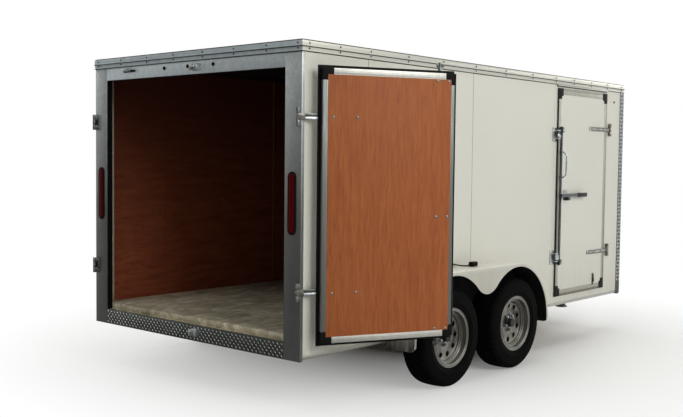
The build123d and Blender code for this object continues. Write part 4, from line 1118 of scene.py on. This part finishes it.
for where, start, end, finish in LINING_TRIMS:
    for (side, way), (near, far) in zip(SIDES, lining_sides):
        low, high = (start, near, FLOOR_TOP), (end, far, CEILING_FACE)
        name = f"lining_trim_{where}_{side}"
        trims.append((name, low, high, LINING_TRIM_ROUND, finish, "mill_aluminium"))
for name, low, high, round_over, finish, slot in trims:
    make_blocks(name, [(low, high)], round_over, IN_BODY, (finish,), "trailer", slot)

# Grey sealant in the corner under each lip of the roof rail, standing also for the painted shadow under the
# lips: top of the bead, how far it stands out
BEADS = ((RAIL_BOTTOM, 3.0), (2258.0, 7.0))
BEAD_HIGH = 4.5
BEAD_SUNK = 2.0
BEAD_ROUND = 1.0
beads = []
for top, out in BEADS:
    foot = top - BEAD_HIGH
    for x0, x1 in ((-out, BEAD_SUNK), (BODY_LONG - BEAD_SUNK, BODY_LONG + out)):
        beads.append(((x0, -HALF_WIDTH - out, foot), (x1, HALF_WIDTH + out, top)))
    for y0, y1 in both_sides(HALF_WIDTH, BEAD_SUNK, out):
        beads.append(((0, y0, foot), (BODY_LONG, y1, top)))
make_blocks("roof_rail_sealant", beads, BEAD_ROUND, IN_BODY, ("grey_sealant",), "trailer", "black_rubber")

# Sealant in the upright seams between the sheets of both walls: place along the wall, foot of the bead
WALL_SEAMS = ((618.0, 470.0), (1837.0, 801.0))
SEAM_HALF = 1.5
SEAM_PROUD = 0.4
SEAM_SUNK = 1.0
SEAM_ROUND = 0.3
seam_top = RAIL_BOTTOM - BEAD_HIGH
seams = [
    ((x - SEAM_HALF, y0, foot), (x + SEAM_HALF, y1, seam_top))
    for x, foot in WALL_SEAMS
    for y0, y1 in both_sides(HALF_WIDTH, SEAM_SUNK, SEAM_PROUD)
]
make_blocks("wall_seam_sealant", seams, SEAM_ROUND, IN_BODY, ("grey_sealant",), "trailer", "black_rubber")

# Black undercoat on the wall inside each fender
WELL_RADIUS = 450.0
WELL_FOOT = 432.0
WELL_STEPS = 16
WELL_PROUD = 1.5
WELL_SUNK = 0.5
lowest_turn = math.asin((WELL_FOOT - AXLE_Z) / WELL_RADIUS)
well_turns = [lowest_turn + (QUARTER_TURN - lowest_turn) * i / WELL_STEPS for i in range(WELL_STEPS + 1)]
well_arc = [(WELL_RADIUS * math.cos(turn), AXLE_Z + WELL_RADIUS * math.sin(turn)) for turn in well_turns]
well_outline = [(AXLES["rear"] - along, up) for along, up in well_arc]
well_outline += [(AXLES["front"] + along, up) for along, up in reversed(well_arc)]
for side, way in SIDES:
    coat = bmesh.new()
    well_y = way * (HALF_WIDTH - WELL_SUNK)
    well_face = coat.faces.new([coat.verts.new((x, well_y, z)) for x, z in well_outline])
    grown = bmesh.ops.extrude_face_region(coat, geom=[well_face])
    bmesh.ops.translate(coat, verts=new_verts(grown), vec=(0, way * (WELL_SUNK + WELL_PROUD), 0))
    make_piece(f"wheel_well_coat_{side}", coat, IN_BODY, ("black_undercoat",), "trailer", "black_steel")

# Leads of the fender lamps, laid over the fender's top and into the wall
LEAD_RADIUS = 5.0
LEAD_ROUND_STEPS = 3
LEAD_ORDER = 3
LEAD_POINTS = (
    (1709.0, 1150.0, 811.0),
    (1690.0, 1143.0, 808.0),
    (1665.0, 1124.0, 808.0),
    (1640.0, 1100.0, 812.0),
    (1615.0, 1080.0, 818.0),
    (1592.0, 1064.0, 824.0),
)
IN_PLACE = Matrix.Identity(4)
for side, way in SIDES:
    route = bpy.data.curves.new(f"lead_route_{side}", "CURVE")
    route.dimensions = "3D"
    route.bevel_depth = LEAD_RADIUS * MM
    route.bevel_resolution = LEAD_ROUND_STEPS
    spline = route.splines.new("NURBS")
    spline.points.add(len(LEAD_POINTS) - 1)
    for point, (x, y, z) in zip(spline.points, LEAD_POINTS):
        point.co = (*(IN_BODY @ Vector((x, way * y, z))), 1)
    spline.order_u = LEAD_ORDER
    spline.use_endpoint_u = True
    drawn = bpy.data.objects.new(f"lead_route_{side}", route)
    lead = bmesh.new()
    tube = bpy.data.meshes.new_from_object(drawn)
    lead.from_mesh(tube)
    bpy.data.objects.remove(drawn)
    bpy.data.meshes.remove(tube)
    make_piece(f"fender_lamp_lead_{side}", lead, IN_PLACE, ("black_rubber",), "trailer", "black_rubber")

# Floor, backdrop light, lamps and camera, in metres
PAPER = "#F3F3F1"
WHITE = "#FFFFFF"
SKY = "#E8ECEF"
SKY_STRENGTH = 0.1
# The glow rises from straight behind the trailer to a little ahead of its sides, as a cosine
BEHIND_GLOW = 0.12
STRAIGHT_BEHIND = -1.0
PAST_THE_SIDES = 0.3
FLOOR_HALF = 60
# The floor fades to white between these distances from the trailer's middle
FADE_FROM = 0.8
FADE_TO = 3.8


def side_light(add, way, camera_ray):
    """White to the camera; in reflections white at the sides and ahead, dim behind the trailer."""
    ahead = add("SeparateXYZ", {"Vector": way}, "X")
    ends = {"Value": ahead, "From Min": STRAIGHT_BEHIND, "From Max": PAST_THE_SIDES, "To Min": BEHIND_GLOW}
    return add("Math", {0: add("MapRange", ends), 1: camera_ray}, operation="MAXIMUM")


def seen_share(add):
    """Whether a ray is the camera's, and whether it is the camera's or a mirrored one."""
    camera_ray = add("LightPath", {}, "Is Camera Ray")
    mirrored = camera_ray.node.outputs["Is Glossy Ray"]
    return camera_ray, add("Math", {0: camera_ray, 1: mirrored}, operation="MAXIMUM")


floor_bm = bmesh.new()
bmesh.ops.create_grid(floor_bm, x_segments=1, y_segments=1, size=FLOOR_HALF)
floor_mesh = bpy.data.meshes.new("floor")
floor_bm.to_mesh(floor_mesh)
floor_bm.free()
floor = bpy.data.objects.new("floor", floor_mesh)
bpy.context.scene.collection.objects.link(floor)
paper, add, paper_place = new_material("pale_studio_floor")
from_middle = add("VectorMath", {0: paper_place}, operation="LENGTH")
far_off = add("MapRange", {"Value": from_middle, "From Min": FADE_FROM, "From Max": FADE_TO})
camera_ray, seen = seen_share(add)
fading = add("Math", {0: seen, 1: far_off}, operation="MULTIPLY")
floor_way = add("VectorMath", {0: paper_place}, operation="NORMALIZE")
floor_glow = side_light(add, floor_way, camera_ray)
matt = add("BsdfDiffuse", {"Color": PAPER})
glow = add("Emission", {"Color": WHITE, "Strength": floor_glow})
add("OutputMaterial", {"Surface": add("MixShader", {0: fading, 1: matt, 2: glow})})
floor_mesh.materials.append(paper)

world = bpy.data.worlds.new("studio")
bpy.context.scene.world = world
world.use_nodes = True
world.node_tree.nodes.clear()
add = partial(add_node, world.node_tree)
camera_ray, seen = seen_share(add)
through = camera_ray.node.outputs["Is Transmission Ray"]
shown = add("Math", {0: seen, 1: through}, operation="MAXIMUM")
ambient = add("Background", {"Color": SKY, "Strength": SKY_STRENGTH})
sky_glow = side_light(add, add("TexCoord", {}, "Generated"), camera_ray)
backdrop = add("Background", {"Color": WHITE, "Strength": sky_glow})
add("OutputWorld", {"Surface": add("MixShader", {0: shown, 1: ambient, 2: backdrop})})

# Lamps: name, place and aim, side lengths, power in watts, colour
LAMPS = (
    ("right_side", (-2.2, -9.5, 6.0), (0.0, 0.0, 1.2), (8.0, 5.0), 530.0, "#FFFDF8"),
    ("left_side", (0.5, 9.5, 6.0), (0.0, 0.0, 1.2), (8.0, 5.0), 460.0, "#FFFDF8"),
    ("front", (10.0, 0.0, 5.0), (0.0, 0.0, 1.2), (6.0, 4.0), 400.0, "#FFFDF8"),
    ("overhead", (0.5, 0.0, 8.5), (0.5, 0.0, 1.0), (8.0, 5.0), 220.0, WHITE),
    ("rear_high", (-6.5, 0.3, 7.5), (-2.0, 0.2, 0.5), (4.0, 3.0), 80.0, WHITE),
    ("rear_low", (-8.0, -2.0, 0.6), (-1.0, 0.4, 1.0), (4.0, 0.8), 14.0, WHITE),
)
for lamp_name, lamp_place, aim, lengths, power, tint in LAMPS:
    light = bpy.data.lights.new(lamp_name, "AREA")
    light.shape = "RECTANGLE"
    light.size, light.size_y = lengths
    light.energy = power
    light.color = linear(tint)[:3]
    lamp = bpy.data.objects.new(lamp_name, light)
    lamp.location = lamp_place
    lamp.rotation_euler = (Vector(aim) - Vector(lamp_place)).to_track_quat("-Z", "Y").to_euler()
    bpy.context.scene.collection.objects.link(lamp)

CAMERA_PLACE = Vector((-6.9534, -5.0848, 1.5817))
CAMERA_YAW = math.radians(41.447)
CAMERA_DOWN = math.radians(2.964)
CAMERA_ROLL = math.radians(0.624)
LENS_MM = 50.6
SENSOR_MM = 36.0
camera_data = bpy.data.cameras.new("photo_camera")
camera_data.lens = LENS_MM
camera_data.sensor_width = SENSOR_MM
camera = bpy.data.objects.new("photo_camera", camera_data)
bpy.context.scene.collection.objects.link(camera)
heading = Matrix.Rotation(CAMERA_YAW - QUARTER_TURN, 4, "Z")
pitch = Matrix.Rotation(QUARTER_TURN - CAMERA_DOWN, 4, "X")
roll = Matrix.Rotation(CAMERA_ROLL, 4, "Z")
camera.matrix_world = Matrix.Translation(CAMERA_PLACE) @ heading @ pitch @ roll
bpy.context.scene.camera = camera
bpy.context.scene.view_settings.view_transform = "Standard"
